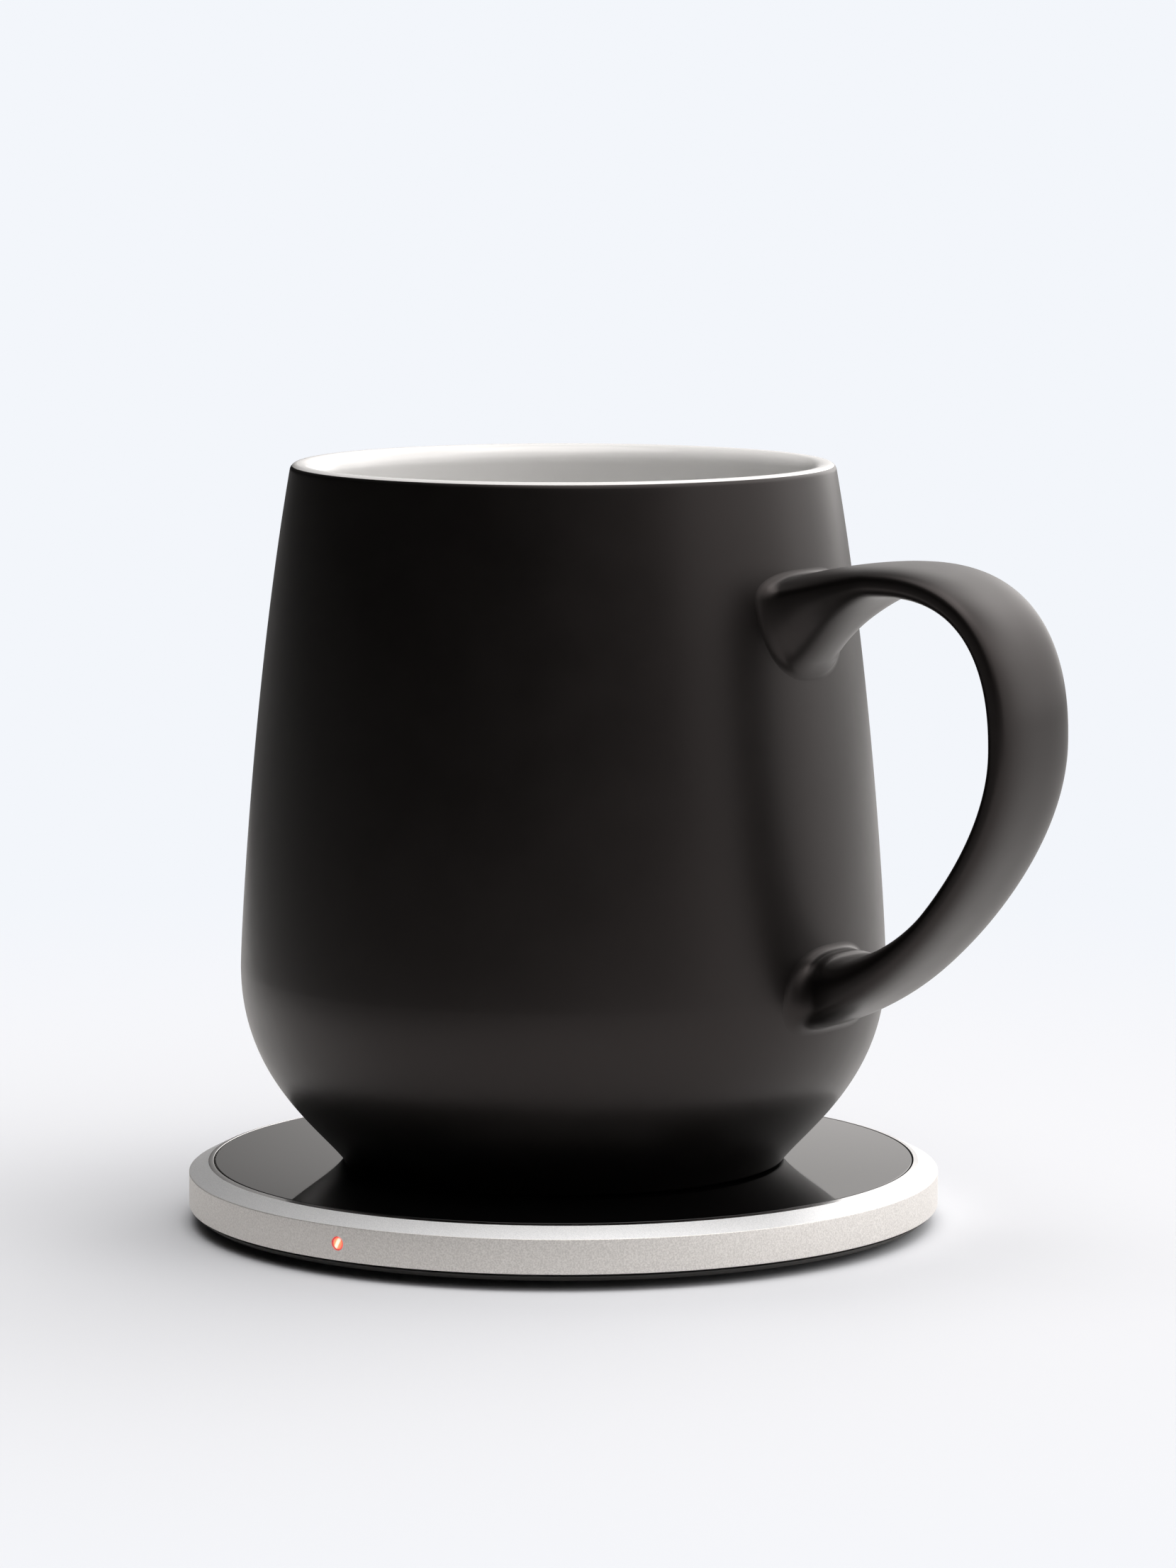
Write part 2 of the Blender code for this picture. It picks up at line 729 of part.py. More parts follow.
def main_board():
    outline = circle_outline(main_board_radius, TURNED_SEGMENTS)
    board = prism("main_board", outline, board_bottom, board_top, board_laminate())
    low = board_bottom - OVERRUN
    high = board_top + OVERRUN
    for index, angle in enumerate(boss_angles(), start=1):
        hole = circle_outline(COVER_BOSS_RADIUS + FIT)
        place = spot(boss_circle_radius, angle)
        cut(board, prism(f"board_hole_{index}", hole, low, high, board_laminate(), place))
    cut(board, port_bay("board_port_bay"))


def board_components():
    low = board_top + BOND
    ring = boss_circle_radius
    component("power_inductor", INDUCTOR_SIZE, low, ferrite_ceramic(), ring, INDUCTOR_ANGLE)
    component("power_controller", CONTROLLER_SIZE, low, chip_resin(), ring, CONTROLLER_ANGLE)
    for index, angle in enumerate(BRIDGE_CHIP_ANGLES, start=1):
        name = f"bridge_chip_{index}"
        component(name, BRIDGE_CHIP_SIZE, low, chip_resin(), ring, angle)
    for index, angle in enumerate(CAPACITOR_ANGLES, start=1):
        name = f"resonant_capacitor_{index}"
        component(name, CAPACITOR_SIZE, low, capacitor_ceramic(), ring, angle)


def status_light():
    width, depth, height = LED_SIZE
    middle = light_pipe_inner_radius - FIT - depth / 2
    low = board_top + BOND
    outline = rectangle_outline(width, depth)
    prism("status_led", outline, low, low + height, led_resin(), (0, -middle, 0))
    start = light_pipe_inner_radius
    length = COASTER_RADIUS - LIGHT_PIPE_RECESS - start
    pipe = prism("light_pipe", circle_outline(LIGHT_PIPE_RADIUS), 0, length, lamp_plastic())
    lay_along_y(pipe, (0, -start, side_middle))


def power_inlet():
    front = COASTER_RADIUS - PORT_RECESS
    outline = stadium_outline(PORT_WIDTH, PORT_HEIGHT)
    shell = prism("usb_port_shell", outline, 0, PORT_DEPTH, screw_steel())
    lay_along_y(shell, (0, front, side_middle))
    inner_width = PORT_WIDTH - 2 * PORT_SHELL
    inner_height = PORT_HEIGHT - 2 * PORT_SHELL
    room = stadium_outline(inner_width, inner_height)
    depth = PORT_DEPTH - PORT_BACK
    bore = prism("usb_port_bore", room, -OVERRUN, depth, screw_steel())
    cut(shell, lay_along_y(bore, (0, front, side_middle)))
    base_start = depth - FIT - TONGUE_BASE_LENGTH
    base_outline = stadium_outline(inner_width - 2 * FIT, inner_height - 2 * FIT)
    tongue = prism("usb_port_tongue", base_outline, base_start, depth - FIT, black_plastic())
    lay_along_y(tongue, (0, front, side_middle))
    blade_outline = rectangle_outline(TONGUE_WIDTH, TONGUE_THICKNESS)
    blade_start = base_start - TONGUE_LENGTH
    blade_end = base_start + TONGUE_BASE_LENGTH / 2
    blade = prism("usb_tongue_blade", blade_outline, blade_start, blade_end, black_plastic())
    fuse(tongue, lay_along_y(blade, (0, front, side_middle)))


def bottom_cover():
    recess_edge = foot_radius + FIT
    chamfer_start = cover_flange_radius - COVER_CHAMFER_WIDTH
    spigot_top = cover_flange_top + COVER_SPIGOT_HEIGHT
    outline = [
        (0, cover_recess_top),
        (recess_edge, cover_recess_top),
        (recess_edge, cover_bottom),
        (chamfer_start, cover_bottom),
        (cover_flange_radius, cover_flange_top),
        (spigot_radius, cover_flange_top),
        (spigot_radius, spigot_top),
        (spigot_inner_radius, spigot_top),
        (spigot_inner_radius, cover_top),
        (0, cover_top),
    ]
    cover = turned("bottom_cover", outline, black_plastic())
    boss_root = (cover_recess_top + cover_top) / 2
    head_room = SCREW_HEAD_HEIGHT + 2 * BOND
    for index, angle in enumerate(boss_angles(), start=1):
        place = spot(boss_circle_radius, angle)
        ring = circle_outline(COVER_BOSS_RADIUS)
        boss = prism(f"cover_boss_{index}", ring, boss_root, cover_boss_top, black_plastic(), place)
        fuse(cover, boss)
        low = cover_recess_top - OVERRUN
        head_hole = circle_outline(SCREW_HEAD_RADIUS + FIT)
        name = f"head_hole_{index}"
        cut(cover, prism(name, head_hole, low, cover_recess_top + head_room, black_plastic(), place))
        shank_hole = circle_outline(SCREW_SHANK_RADIUS + FIT)
        high = cover_boss_top + OVERRUN
        cut(cover, prism(f"shank_hole_{index}", shank_hole, low, high, black_plastic(), place))
    cut(cover, port_bay("cover_port_bay"))


def foot_pad():
    top = cover_recess_top - BOND
    outline = [(0, 0), (foot_radius, 0, FOOT_EDGE_ROUND), (foot_radius, top), (0, top)]
    turned("foot_pad", rounded(outline), foot_rubber())


def cover_screws():
    head_bottom = cover_recess_top + BOND
    head_top = head_bottom + SCREW_HEAD_HEIGHT
    shank_top = flange_bottom - SCREW_TIP_GAP
    outline = [
        (0, head_bottom),
        (SCREW_HEAD_RADIUS, head_bottom),
        (SCREW_HEAD_RADIUS, head_top),
        (SCREW_SHANK_RADIUS, head_top),
        (SCREW_SHANK_RADIUS, shank_top),
        (0, shank_top),
    ]
    low = head_bottom - OVERRUN
    high = head_bottom + SCREW_CROSS_DEPTH
    arms = [(SCREW_CROSS_LENGTH, SCREW_CROSS_WIDTH), (SCREW_CROSS_WIDTH, SCREW_CROSS_LENGTH)]
    for index, angle in enumerate(boss_angles(), start=1):
        place = spot(boss_circle_radius, angle)
        screw = turned(f"cover_screw_{index}", outline, screw_steel(), HOLE_SEGMENTS, place)
        for arm, (width, depth) in enumerate(arms, start=1):
            slot = rectangle_outline(width, depth)
            name = f"screw_{index}_slot_{arm}"
            cut(screw, prism(name, slot, low, high, screw_steel(), place))


def wall_curves(inset):
    """The mug's outside from its foot to its rim, moved in by an inset, as (radius, height)."""
    belly = Vector((MUG_BELLY_RADIUS - inset, mug_base + MUG_BELLY_HEIGHT))
    rim = Vector((MUG_RIM_RADIUS - inset, mug_base + MUG_HEIGHT))
    up = Vector((0, 1))
    lean = Vector((RIM_LEAN_SHARE, -1))
    rim_pull = rim + lean * RIM_CURVE_REACH
    side = bezier(belly, belly + up * WALL_CURVE_REACH, rim_pull, rim, BODY_CURVE_STEPS)
    foot = Vector((MUG_FOOT_RADIUS, mug_base))
    foot_way = Vector((math.sin(MUG_FOOT_ANGLE), math.cos(MUG_FOOT_ANGLE)))
    foot_pull = foot + foot_way * FOOT_CURVE_REACH
    low = bezier(foot, foot_pull, belly - up * BELLY_CURVE_REACH, belly, BODY_CURVE_STEPS)
    return low, side, rim


def body_radius(height):
    """The radius of the mug's outside at a height above the table."""
    low, side, rim = wall_curves(0)
    curve = low + side + [rim]
    for lower, upper in zip(curve, curve[1:]):
        if height <= upper.y:
            break
    share = (height - lower.y) / (upper.y - lower.y)
    return lower.x + (upper.x - lower.x) * share


def mug_outline():
    """The mug's turned section: outside, lip, inside and the hollow below its floor."""
    low, side, rim = wall_curves(0)
    inside = wall_curves(MUG_WALL)[1]
    inner_rim = Vector((rim.x - MUG_WALL, rim.y))
    top = low[1:] + side
    lip = arc_corner(side[-1], rim, inner_rim, LIP_OUTER_ROUND)
    lip += arc_corner(rim, inner_rim, inside[-1], LIP_INNER_ROUND)
    wall = inside[:0:-1]
    bowl_side = Vector((MUG_BELLY_RADIUS - MUG_WALL, mug_base + MUG_BELLY_HEIGHT))
    bowl_floor = Vector((cup_floor_radius, cup_floor))
    side_pull = bowl_side - Vector((0, BOWL_SIDE_SHARE * (bowl_side.y - bowl_floor.y)))
    floor_pull = bowl_floor + Vector((BOWL_FLOOR_SHARE * (bowl_side.x - bowl_floor.x), 0))
    bowl = bezier(bowl_side, side_pull, floor_pull, bowl_floor, BODY_CURVE_STEPS)
    bowl += [bowl_floor, Vector((0, cup_floor))]
    below = [
        Vector((0, hollow_top)),
        Vector((hollow_radius, hollow_top)),
        Vector((hollow_radius, hollow_seat)),
        Vector((hollow_seat_radius, hollow_seat)),
    ]
    foot_inner = Vector((hollow_seat_radius, mug_base))
    foot_outer = Vector((MUG_FOOT_RADIUS, mug_base))
    foot = arc_corner(below[-1], foot_inner, foot_outer, MUG_FOOT_EDGE_ROUND)
    foot += arc_corner(foot_inner, foot_outer, low[1], MUG_FOOT_EDGE_ROUND)
    return top + lip + wall + bowl + below + foot


def handle_path():
    """Points close together along the middle of the handle, from its top root down."""
    top_reach = body_radius(handle_top_root_height) - HANDLE_ROOT_SINK
    low_reach = body_radius(handle_low_root_height) - HANDLE_ROOT_SINK
    top_root = Vector((top_reach, handle_top_root_height))
    crest = Vector((MUG_BELLY_RADIUS + HANDLE_CREST_PAST_BELLY, handle_crest_height))
    outer = Vector((MUG_BELLY_RADIUS + HANDLE_OUTER_PAST_BELLY, handle_outer_height))
    low_root = Vector((low_reach, handle_low_root_height))
    out = Vector((1, 0))
    up = Vector((0, 1))
    root_way = Vector((math.cos(HANDLE_LOW_ROOT_ANGLE), math.sin(HANDLE_LOW_ROOT_ANGLE)))
    top_pull = top_root.lerp(crest - out * HANDLE_CREST_PULL, 0.5)
    samples = HANDLE_SPAN_SAMPLES
    path = bezier(top_root, top_pull, crest - out * HANDLE_CREST_PULL, crest, samples)
    shoulder = crest + out * HANDLE_SHOULDER_PULL
    path += bezier(crest, shoulder, outer + up * HANDLE_OUTER_PULL_UP, outer, samples)
    hip = outer - up * HANDLE_OUTER_PULL_DOWN
    knee = low_root + root_way * HANDLE_LOW_ROOT_PULL
    path += bezier(outer, hip, knee, low_root, 2 * samples)
    return path + [low_root]


def handle_stations():
    """Ring places along the handle: (middle, way along, share of the length)."""
    path = handle_path()
    lengths = [0.0]
    for start, end in zip(path, path[1:]):
        lengths.append(lengths[-1] + (end - start).length)
    total = lengths[-1]
    stations = []
    next_length = 0.0
    for index in range(len(path) - 1):
        if lengths[index] < next_length:
            continue
        way = (path[index + 1] - path[index]).normalized()
        stations.append((path[index], way, lengths[index] / total))
        depth = max(0.0, path[index].x - body_radius(path[index].y))
        step = HANDLE_STEP_AT_ROOT + HANDLE_STEP_GROWTH_SHARE * depth
        next_length = lengths[index] + min(step, HANDLE_LONGEST_STEP)
    way = (path[-1] - path[-2]).normalized()
    if total - next_length < -HANDLE_STEP_AT_ROOT / 2:
        stations.pop()
    stations.append((path[-1], way, 1.0))
    return stations


def flare(depth, radius):
    """How far a fillet of this radius stands out at a distance from the wall.

    The fillet stops just short of lying along the wall, so that it meets it in a clean edge.
    """
    climb = radius - max(depth, 0) - ROOT_FLARE_EDGE
    if climb <= 0:
        return 0.0
    return radius - math.sqrt(radius**2 - climb**2)


def wall_way(height):
    """The direction of the mug's wall at a height, pointing up."""
    step = HANDLE_STEP_AT_ROOT
    run = body_radius(height + step) - body_radius(height - step)
    return Vector((run, 2 * step)).normalized()


def handle_ring(middle, way, share):
    """The points of one ring of the handle, bent round the mug's wall where it nears it."""
    width = HANDLE_WIDTH_TOP + (HANDLE_WIDTH_LOW - HANDLE_WIDTH_TOP) * share
    thickness = HANDLE_THICKNESS_TOP + (HANDLE_THICKNESS_LOW - HANDLE_THICKNESS_TOP) * share
    square = Vector((-way.y, way.x))
    at_top = share < 0.5
    wall = wall_way(middle.y) * (1 if at_top else -1)
    depth = middle.x - body_radius(middle.y)
    nearness = min(1.0, max(0.0, 1 - depth / HANDLE_TURN_IN))
    nearness = nearness**2 * (3 - 2 * nearness)
    axis = square.lerp(wall, nearness).normalized()
    thickness /= axis.dot(square)
    inner_flare = TOP_ROOT_INNER_FLARE if at_top else LOW_ROOT_INNER_FLARE
    power = 2 / HANDLE_SECTION_POWER
    ring = []
    for step in range(HANDLE_RING_POINTS):
        angle = 2 * math.pi * step / HANDLE_RING_POINTS
        across = math.cos(angle)
        outward = math.sin(angle)
        facing = inner_flare if outward < 0 else ROOT_BACK_FLARE
        radius = ROOT_SIDE_FLARE + (facing - ROOT_SIDE_FLARE) * abs(outward)
        grown = flare(depth, radius)
        side = math.copysign(abs(across) ** power, across) * width / 2 + grown * across
        height = math.copysign(abs(outward) ** power, outward) * thickness / 2
        point = middle + axis * (height + grown * outward)
        reach = body_radius(point.y) + depth
        bent = math.sqrt(reach**2 - side**2)
        ring.append(Vector((point.x + (bent - point.x) * nearness, side, point.y)))
    return ring


def handle_solid():
    shape = bmesh.new()
    rings = []
    for middle, way, share in handle_stations():
        ring = [shape.verts.new(point) for point in handle_ring(middle, way, share)]
        if rings:
            join_rings(shape, rings[-1], ring)
        rings.append(ring)
    shape.faces.new(rings[0])
    shape.faces.new(rings[-1][::-1])
    return object_from_bmesh(shape, "handle_solid", matte_black_glaze())


def mug_shell():
    shell = turned("mug_shell", mug_outline(), matte_black_glaze())
    fuse(shell, handle_solid())


def disc(name, bottom, thickness, radius, finish, hole_radius=0.0):
    """A flat disc, with a round hole through its middle if a hole radius is given."""
    top = bottom + thickness
    outline = [(hole_radius, bottom), (radius, bottom), (radius, top), (hole_radius, top)]
    return turned(name, outline, finish)


def mug_base_pieces():
    cover_radius = hollow_seat_radius - FIT
    disc("mug_foot_cover", mug_cover_bottom, MUG_COVER_THICKNESS, cover_radius, black_plastic())
    seal_bottom = mug_cover_top + BOND
    seal_inner = hollow_radius
    disc("mug_foot_seal", seal_bottom, SEAL_THICKNESS, cover_radius, silicone_rubber(), seal_inner)
    size = (
        receiver_inner_radius,
        receiver_outer_radius,
        RECEIVER_TURNS,
        RECEIVER_WIRE_RADIUS,
        receiver_height,
    )
    lead_end = receiver_board_bottom - BOND
    lead_ends = (receiver_lead_radius, receiver_lead_reach, lead_end)
    wound_coil("receiver_coil", copper_wire(), size, lead_ends)
    disc(
        "receiver_ferrite",
        receiver_ferrite_bottom,
        RECEIVER_FERRITE_THICKNESS,
        receiver_ferrite_radius,
        ferrite_ceramic(),
        RECEIVER_FERRITE_HOLE_RADIUS,
    )
    board_radius = hollow_radius - FIT
    disc(
        "receiver_board",
        receiver_board_bottom,
        RECEIVER_BOARD_THICKNESS,
        board_radius,
        board_laminate(),
    )


def mug_components():
    low = receiver_board_top + BOND
    ring = mug_component_radius
    quarter = math.pi / 2
    component("rectifier_chip", RECTIFIER_SIZE, low, chip_resin(), ring, quarter)
    component("heater_controller", MUG_CONTROLLER_SIZE, low, chip_resin(), ring, 3 * quarter)
    for index in range(2):
        name = f"receiver_capacitor_{index + 1}"
        angle = quarter * (0.5 + index)
        component(name, MUG_CAPACITOR_SIZE, low, capacitor_ceramic(), ring, angle)


def heater_stack():
    insulation = disc(
        "insulation_disc",
        insulation_bottom,
        INSULATION_THICKNESS,
        hollow_radius - FIT,
        insulation_board(),
        sensor_hole_radius,
    )
    disc(
        "heating_disc",
        heater_bottom,
        HEATER_THICKNESS,
        heater_radius,
        heater_foil(),
        sensor_hole_radius,
    )
    disc(
        "thermal_pad",
        thermal_pad_bottom,
        THERMAL_PAD_THICKNESS,
        heater_radius,
        silicone_rubber(),
        sensor_hole_radius,
    )
    low = receiver_board_top + BOND
    high = heater_bottom - BOND
    lead = circle_outline(HEATER_LEAD_RADIUS)
    hole = circle_outline(HEATER_LEAD_RADIUS + FIT)
    for index, angle in enumerate((0, math.pi), start=1):
        place = spot(HEATER_LEAD_CIRCLE_RADIUS, angle)
        prism(f"heater_lead_{index}", lead, low, high, copper_wire(), place)
        bottom = insulation_bottom - OVERRUN
        cutter = prism(f"lead_hole_{index}", hole, bottom, high, insulation_board(), place)
        cut(insulation, cutter)
    top = hollow_top - FIT
    outline = [
        (0, low),
        (SENSOR_RADIUS, low),
        (SENSOR_RADIUS, top, SENSOR_RADIUS / 2),
        (0, top),
    ]
    turned("cup_temperature_sensor", rounded(outline), chip_resin(), HOLE_SEGMENTS)


def main():
    clear_scene()
    foot_pad()
    bottom_cover()
    cover_screws()
    housing_ring()
    power_inlet()
    status_light()
    main_board()
    board_components()
    coil_frame()
    transmitter()
    glass_tape()
    top_glass()
    mug_shell()
    mug_base_pieces()
    mug_components()
    heater_stack()


main()
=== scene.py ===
"""Looks for a self heating mug on its round wireless coaster.

The scene is in metres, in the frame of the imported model: Z up, the coaster's foot on
Z = 0, the handle along +X, the status light on -Y and the power inlet on +Y. The lengths
written in this file are in millimetres, up to where it says otherwise.
"""

import json
import math

import bmesh
import bpy
import numpy as np
from mathutils import Matrix, Vector


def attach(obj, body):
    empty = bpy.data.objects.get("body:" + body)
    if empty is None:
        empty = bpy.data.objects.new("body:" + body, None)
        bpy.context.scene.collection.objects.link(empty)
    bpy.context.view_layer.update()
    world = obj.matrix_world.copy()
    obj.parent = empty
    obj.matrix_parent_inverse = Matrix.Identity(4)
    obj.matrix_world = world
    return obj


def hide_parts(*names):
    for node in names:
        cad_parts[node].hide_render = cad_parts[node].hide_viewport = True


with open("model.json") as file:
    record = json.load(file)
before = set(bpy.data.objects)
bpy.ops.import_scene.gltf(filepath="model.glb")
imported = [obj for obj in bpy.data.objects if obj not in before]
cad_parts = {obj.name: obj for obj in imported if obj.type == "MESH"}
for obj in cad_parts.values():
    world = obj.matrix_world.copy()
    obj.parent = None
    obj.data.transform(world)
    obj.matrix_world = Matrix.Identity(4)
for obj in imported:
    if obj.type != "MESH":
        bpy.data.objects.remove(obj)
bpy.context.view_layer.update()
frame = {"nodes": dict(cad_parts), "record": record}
MM = 0.001

# Sizes shared with the solids
MUG_BASE = 8.85
MUG_HEIGHT = 96.4
BELLY_RADIUS = 44.64
BELLY_HEIGHT = 26.74
RIM_RADIUS = 37.35
FOOT_RADIUS = 30.6
WALL = 3.8
GLASS_TOP = 8.55
SIDE_MIDDLE = 4.70

# Points round a large turned piece, a small one and the half round end of a slot
FINE = 256
SMALL_ROUND = 48
HALF_ROUND = 20
# A smaller radius than this is on the axis
ON_AXIS = 1e-6
# Edges are sharp above this angle in degrees, and those of metal above the second one
SHARP = 40
METAL_SHARP = 30


# Outlines

def bezier(start, start_pull, end_pull, end, steps):
    """Points of a cubic curve from its start up to but not at its end."""
    share = np.linspace(0, 1, steps, endpoint=False)[:, None]
    rest = 1 - share
    start, start_pull, end_pull, end = map(np.array, (start, start_pull, end_pull, end))
    return (
        start * rest**3
        + 3 * start_pull * rest**2 * share
        + 3 * end_pull * rest * share**2
        + end * share**3
    )


def arc_corner(before, corner, after, radius, steps):
    """The points of an arc that rounds the corner of an outline."""
    before, corner, after = Vector(before), Vector(corner), Vector(after)
    back = (before - corner).normalized()
    onward = (after - corner).normalized()
    half = back.angle(onward) / 2
    reach = radius / math.tan(half)
    middle = corner + (back + onward).normalized() * (radius / math.sin(half))
    start = corner + back * reach - middle
    sweep = start.angle_signed(corner + onward * reach - middle)
    points = []
    for step in range(steps + 1):
        spoke = start.copy()
        spoke.rotate(Matrix.Rotation(-sweep * step / steps, 2))
        points.append(tuple(middle + spoke))
    return points


def rounded(outline, steps=6):
    """An outline of (radius, height) and (radius, height, rounding) entries, rounded."""
    points = []
    for index, entry in enumerate(outline):
        if len(entry) == 2:
            points.append(entry)
            continue
        before = outline[index - 1][:2]
        after = outline[(index + 1) % len(outline)][:2]
        points.extend(arc_corner(before, entry[:2], after, entry[2], steps))
    return points


# The mug's section, as (radius, height)

# How far the ends of its curves pull, and which way at the foot and the rim
FOOT_LEAN = math.radians(35.6)
FOOT_PULL = 5.7
BELLY_PULL_DOWN = 15.3
BELLY_PULL_UP = 4.1
RIM_PULL = 30.1
RIM_LEAN = 0.178
# Half the height over which the wall's way up is measured
WAY_SPAN = 0.3

belly = (BELLY_RADIUS, MUG_BASE + BELLY_HEIGHT)
rim = (RIM_RADIUS, MUG_BASE + MUG_HEIGHT)
foot = (FOOT_RADIUS, MUG_BASE)
foot_pull = (
    FOOT_RADIUS + FOOT_PULL * math.sin(FOOT_LEAN),
    MUG_BASE + FOOT_PULL * math.cos(FOOT_LEAN),
)
low_curve = bezier(foot, foot_pull, (belly[0], belly[1] - BELLY_PULL_DOWN), belly, steps=40)
rim_pull = (rim[0] + RIM_LEAN * RIM_PULL, rim[1] - RIM_PULL)
side_curve = bezier(belly, (belly[0], belly[1] + BELLY_PULL_UP), rim_pull, rim, steps=60)
wall_curve = np.vstack([low_curve, side_curve, [rim]])
inner_belly = (belly[0] - WALL, belly[1])
inner_rim = (rim[0] - WALL, rim[1])
inner_belly_pull = (inner_belly[0], belly[1] + BELLY_PULL_UP)
inner_rim_pull = (rim_pull[0] - WALL, rim_pull[1])
inner_curve = bezier(inner_belly, inner_belly_pull, inner_rim_pull, inner_rim, steps=40)


def wall_radius(height):
    """The radius of the mug's outside at a height."""
    return float(np.interp(height, wall_curve[:, 1], wall_curve[:, 0]))


def wall_way(height):
    """The way up along the mug's outside at a height, as (outward, up)."""
    run = wall_radius(height + WAY_SPAN) - wall_radius(height - WAY_SPAN)
    return Vector((run, 2 * WAY_SPAN)).normalized()


# Meshes

def add_object(name, mesh, body, node, materials):
    """Links a piece, hangs it on its body and hides the CAD node that it stands for."""
    for material in materials:
        mesh.materials.append(material)
    made = bpy.data.objects.new(name, mesh)
    bpy.context.scene.collection.objects.link(made)
    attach(made, body)
    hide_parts(node)


def smooth_mesh(shape, name, angle=SHARP):
    """A mesh from a bmesh in millimetres, smooth but for edges sharper than the angle."""
    bmesh.ops.scale(shape, vec=(MM, MM, MM), verts=shape.verts)
    mesh = bpy.data.meshes.new(name)
    shape.to_mesh(mesh)
    shape.free()
    soften(mesh, angle)
    return mesh


def soften(mesh, angle):
    mesh.shade_smooth()
    mesh.set_sharp_from_angle(angle=math.radians(angle))


def join_rings(shape, lower, upper):
    """Faces between two rings of points, either of which may be a single point."""
    count = max(len(lower), len(upper))
    for step in range(count):
        following = (step + 1) % count
        if len(lower) == 1:
            corners = (lower[0], upper[following], upper[step])
        elif len(upper) == 1:
            corners = (lower[step], lower[following], upper[0])
        else:
            corners = (lower[step], lower[following], upper[following], upper[step])
        shape.faces.new(corners)


def lathe(shape, outline, segments=FINE, closed=False):
    """Turns an outline of (radius, height) points round Z."""
    rings = []
    for radius, height in outline:
        if radius < ON_AXIS:
            rings.append([shape.verts.new((0, 0, height))])
            continue
        ring = []
        for step in range(segments):
            angle = 2 * math.pi * step / segments
            point = (radius * math.cos(angle), radius * math.sin(angle), height)
            ring.append(shape.verts.new(point))
        rings.append(ring)
    for lower, upper in zip(rings, rings[1:]):
        join_rings(shape, lower, upper)
    if closed:
        join_rings(shape, rings[-1], rings[0])


def turned_mesh(name, outline, closed=False, angle=SHARP):
    """A turned mesh, with its faces outward."""
    shape = bmesh.new()
    lathe(shape, outline, closed=closed)
    bmesh.ops.recalc_face_normals(shape, faces=shape.faces)
    return smooth_mesh(shape, name, angle)


def circle(radius):
    points = []
    for step in range(SMALL_ROUND):
        angle = 2 * math.pi * (step + 0.5) / SMALL_ROUND
        points.append((radius * math.cos(angle), radius * math.sin(angle)))
    return points


def stadium(width, height):
    """A slot shape: straight top and bottom with half round ends."""
    radius = height / 2
    straight = width / 2 - radius
    points = []
    for side, first in ((1, -math.pi / 2), (-1, math.pi / 2)):
        for step in range(HALF_ROUND + 1):
            angle = first + math.pi * step / HALF_ROUND
            across = side * straight + radius * math.cos(angle)
            points.append((across, radius * math.sin(angle)))
    return points


def loft(shape, rings, cap=True):
    """A solid through rings of points."""
    made = [[shape.verts.new(point) for point in ring] for ring in rings]
    for lower, upper in zip(made, made[1:]):
        join_rings(shape, lower, upper)
    if cap:
        shape.faces.new(made[0][::-1])
        shape.faces.new(made[-1])


# The handle, in the upright plane of its middle line as (outward, up)

CREST = Vector((BELLY_RADIUS + 12.1, MUG_BASE + MUG_HEIGHT - 13.2))
OUTER = Vector((BELLY_RADIUS + 30.02, CREST.y - 21.0))
TOP_ROOT_HEIGHT = CREST.y - 1.35
LOW_ROOT_HEIGHT = MUG_BASE + BELLY_HEIGHT - 3.75
ROOT_SINK = 1.6
CREST_PULLS = (4.4, 18.0)
OUTER_PULLS = (4.1, 16.9)
KNEE_LIFT = math.radians(15.3)
KNEE_REACH = 11.0
# The strap at its top root, and how much it has lost of each at the low one
STRAP_WIDTH = 18.1
STRAP_TAPER = 1.3
STRAP_THICKNESS = 4.5
STRAP_THINNING = 0.45
# Nearer the wall than this, the strap's section leans over to the wall's own way
LEAN_REACH = 8.0
STRAP_COLUMNS = 96
STRAP_RINGS = 130
FILLET_RINGS = 14
# How square the strap's section is: 2 is an ellipse, and more is squarer
SECTION_POWER = 3.0
# In the pairs that follow, the top root comes first and the low root second.
# How far the root swells inward, over what way, and by what power
SWELLS = (9.8, 6.8)
SWELL_REACHES = (15.0, 20.0)
SWELL_POWERS = (1.35, 1.6)
# What share of the swell the widest line of the section moves inward
CENTRE_SHARES = (0.19, 0.32)
# How far the outer side dips toward the root, and over what way
DIPS = (1.4, 1.1)
DIP_REACHES = (15.0, 13.0)
# How square the section is at the root, and what the neck before it adds to that
ROOT_SECTION_POWERS = (2.65, 2.9)
NECK_POWERS = (-0.6, 0.0)
# How much narrower each half of the strap is at the root and at the neck
NARROWINGS = (0.7, 0.6)
NECK_NARROWINGS = (0.8, -0.5)
# The fillet toward the side, the inside and the outside of the handle
FILLETS = ((2.2, 1.3, 1.0), (3.1, 1.5, 1.0))
# The shares of the path between which a root's fillet is looked for
ROOT_SEARCHES = ((0.0, 0.30), (1.0, 0.62))
SEARCH_STEPS = 26
# How far the last ring of a fillet goes into the wall
FILLET_SINK = 0.01


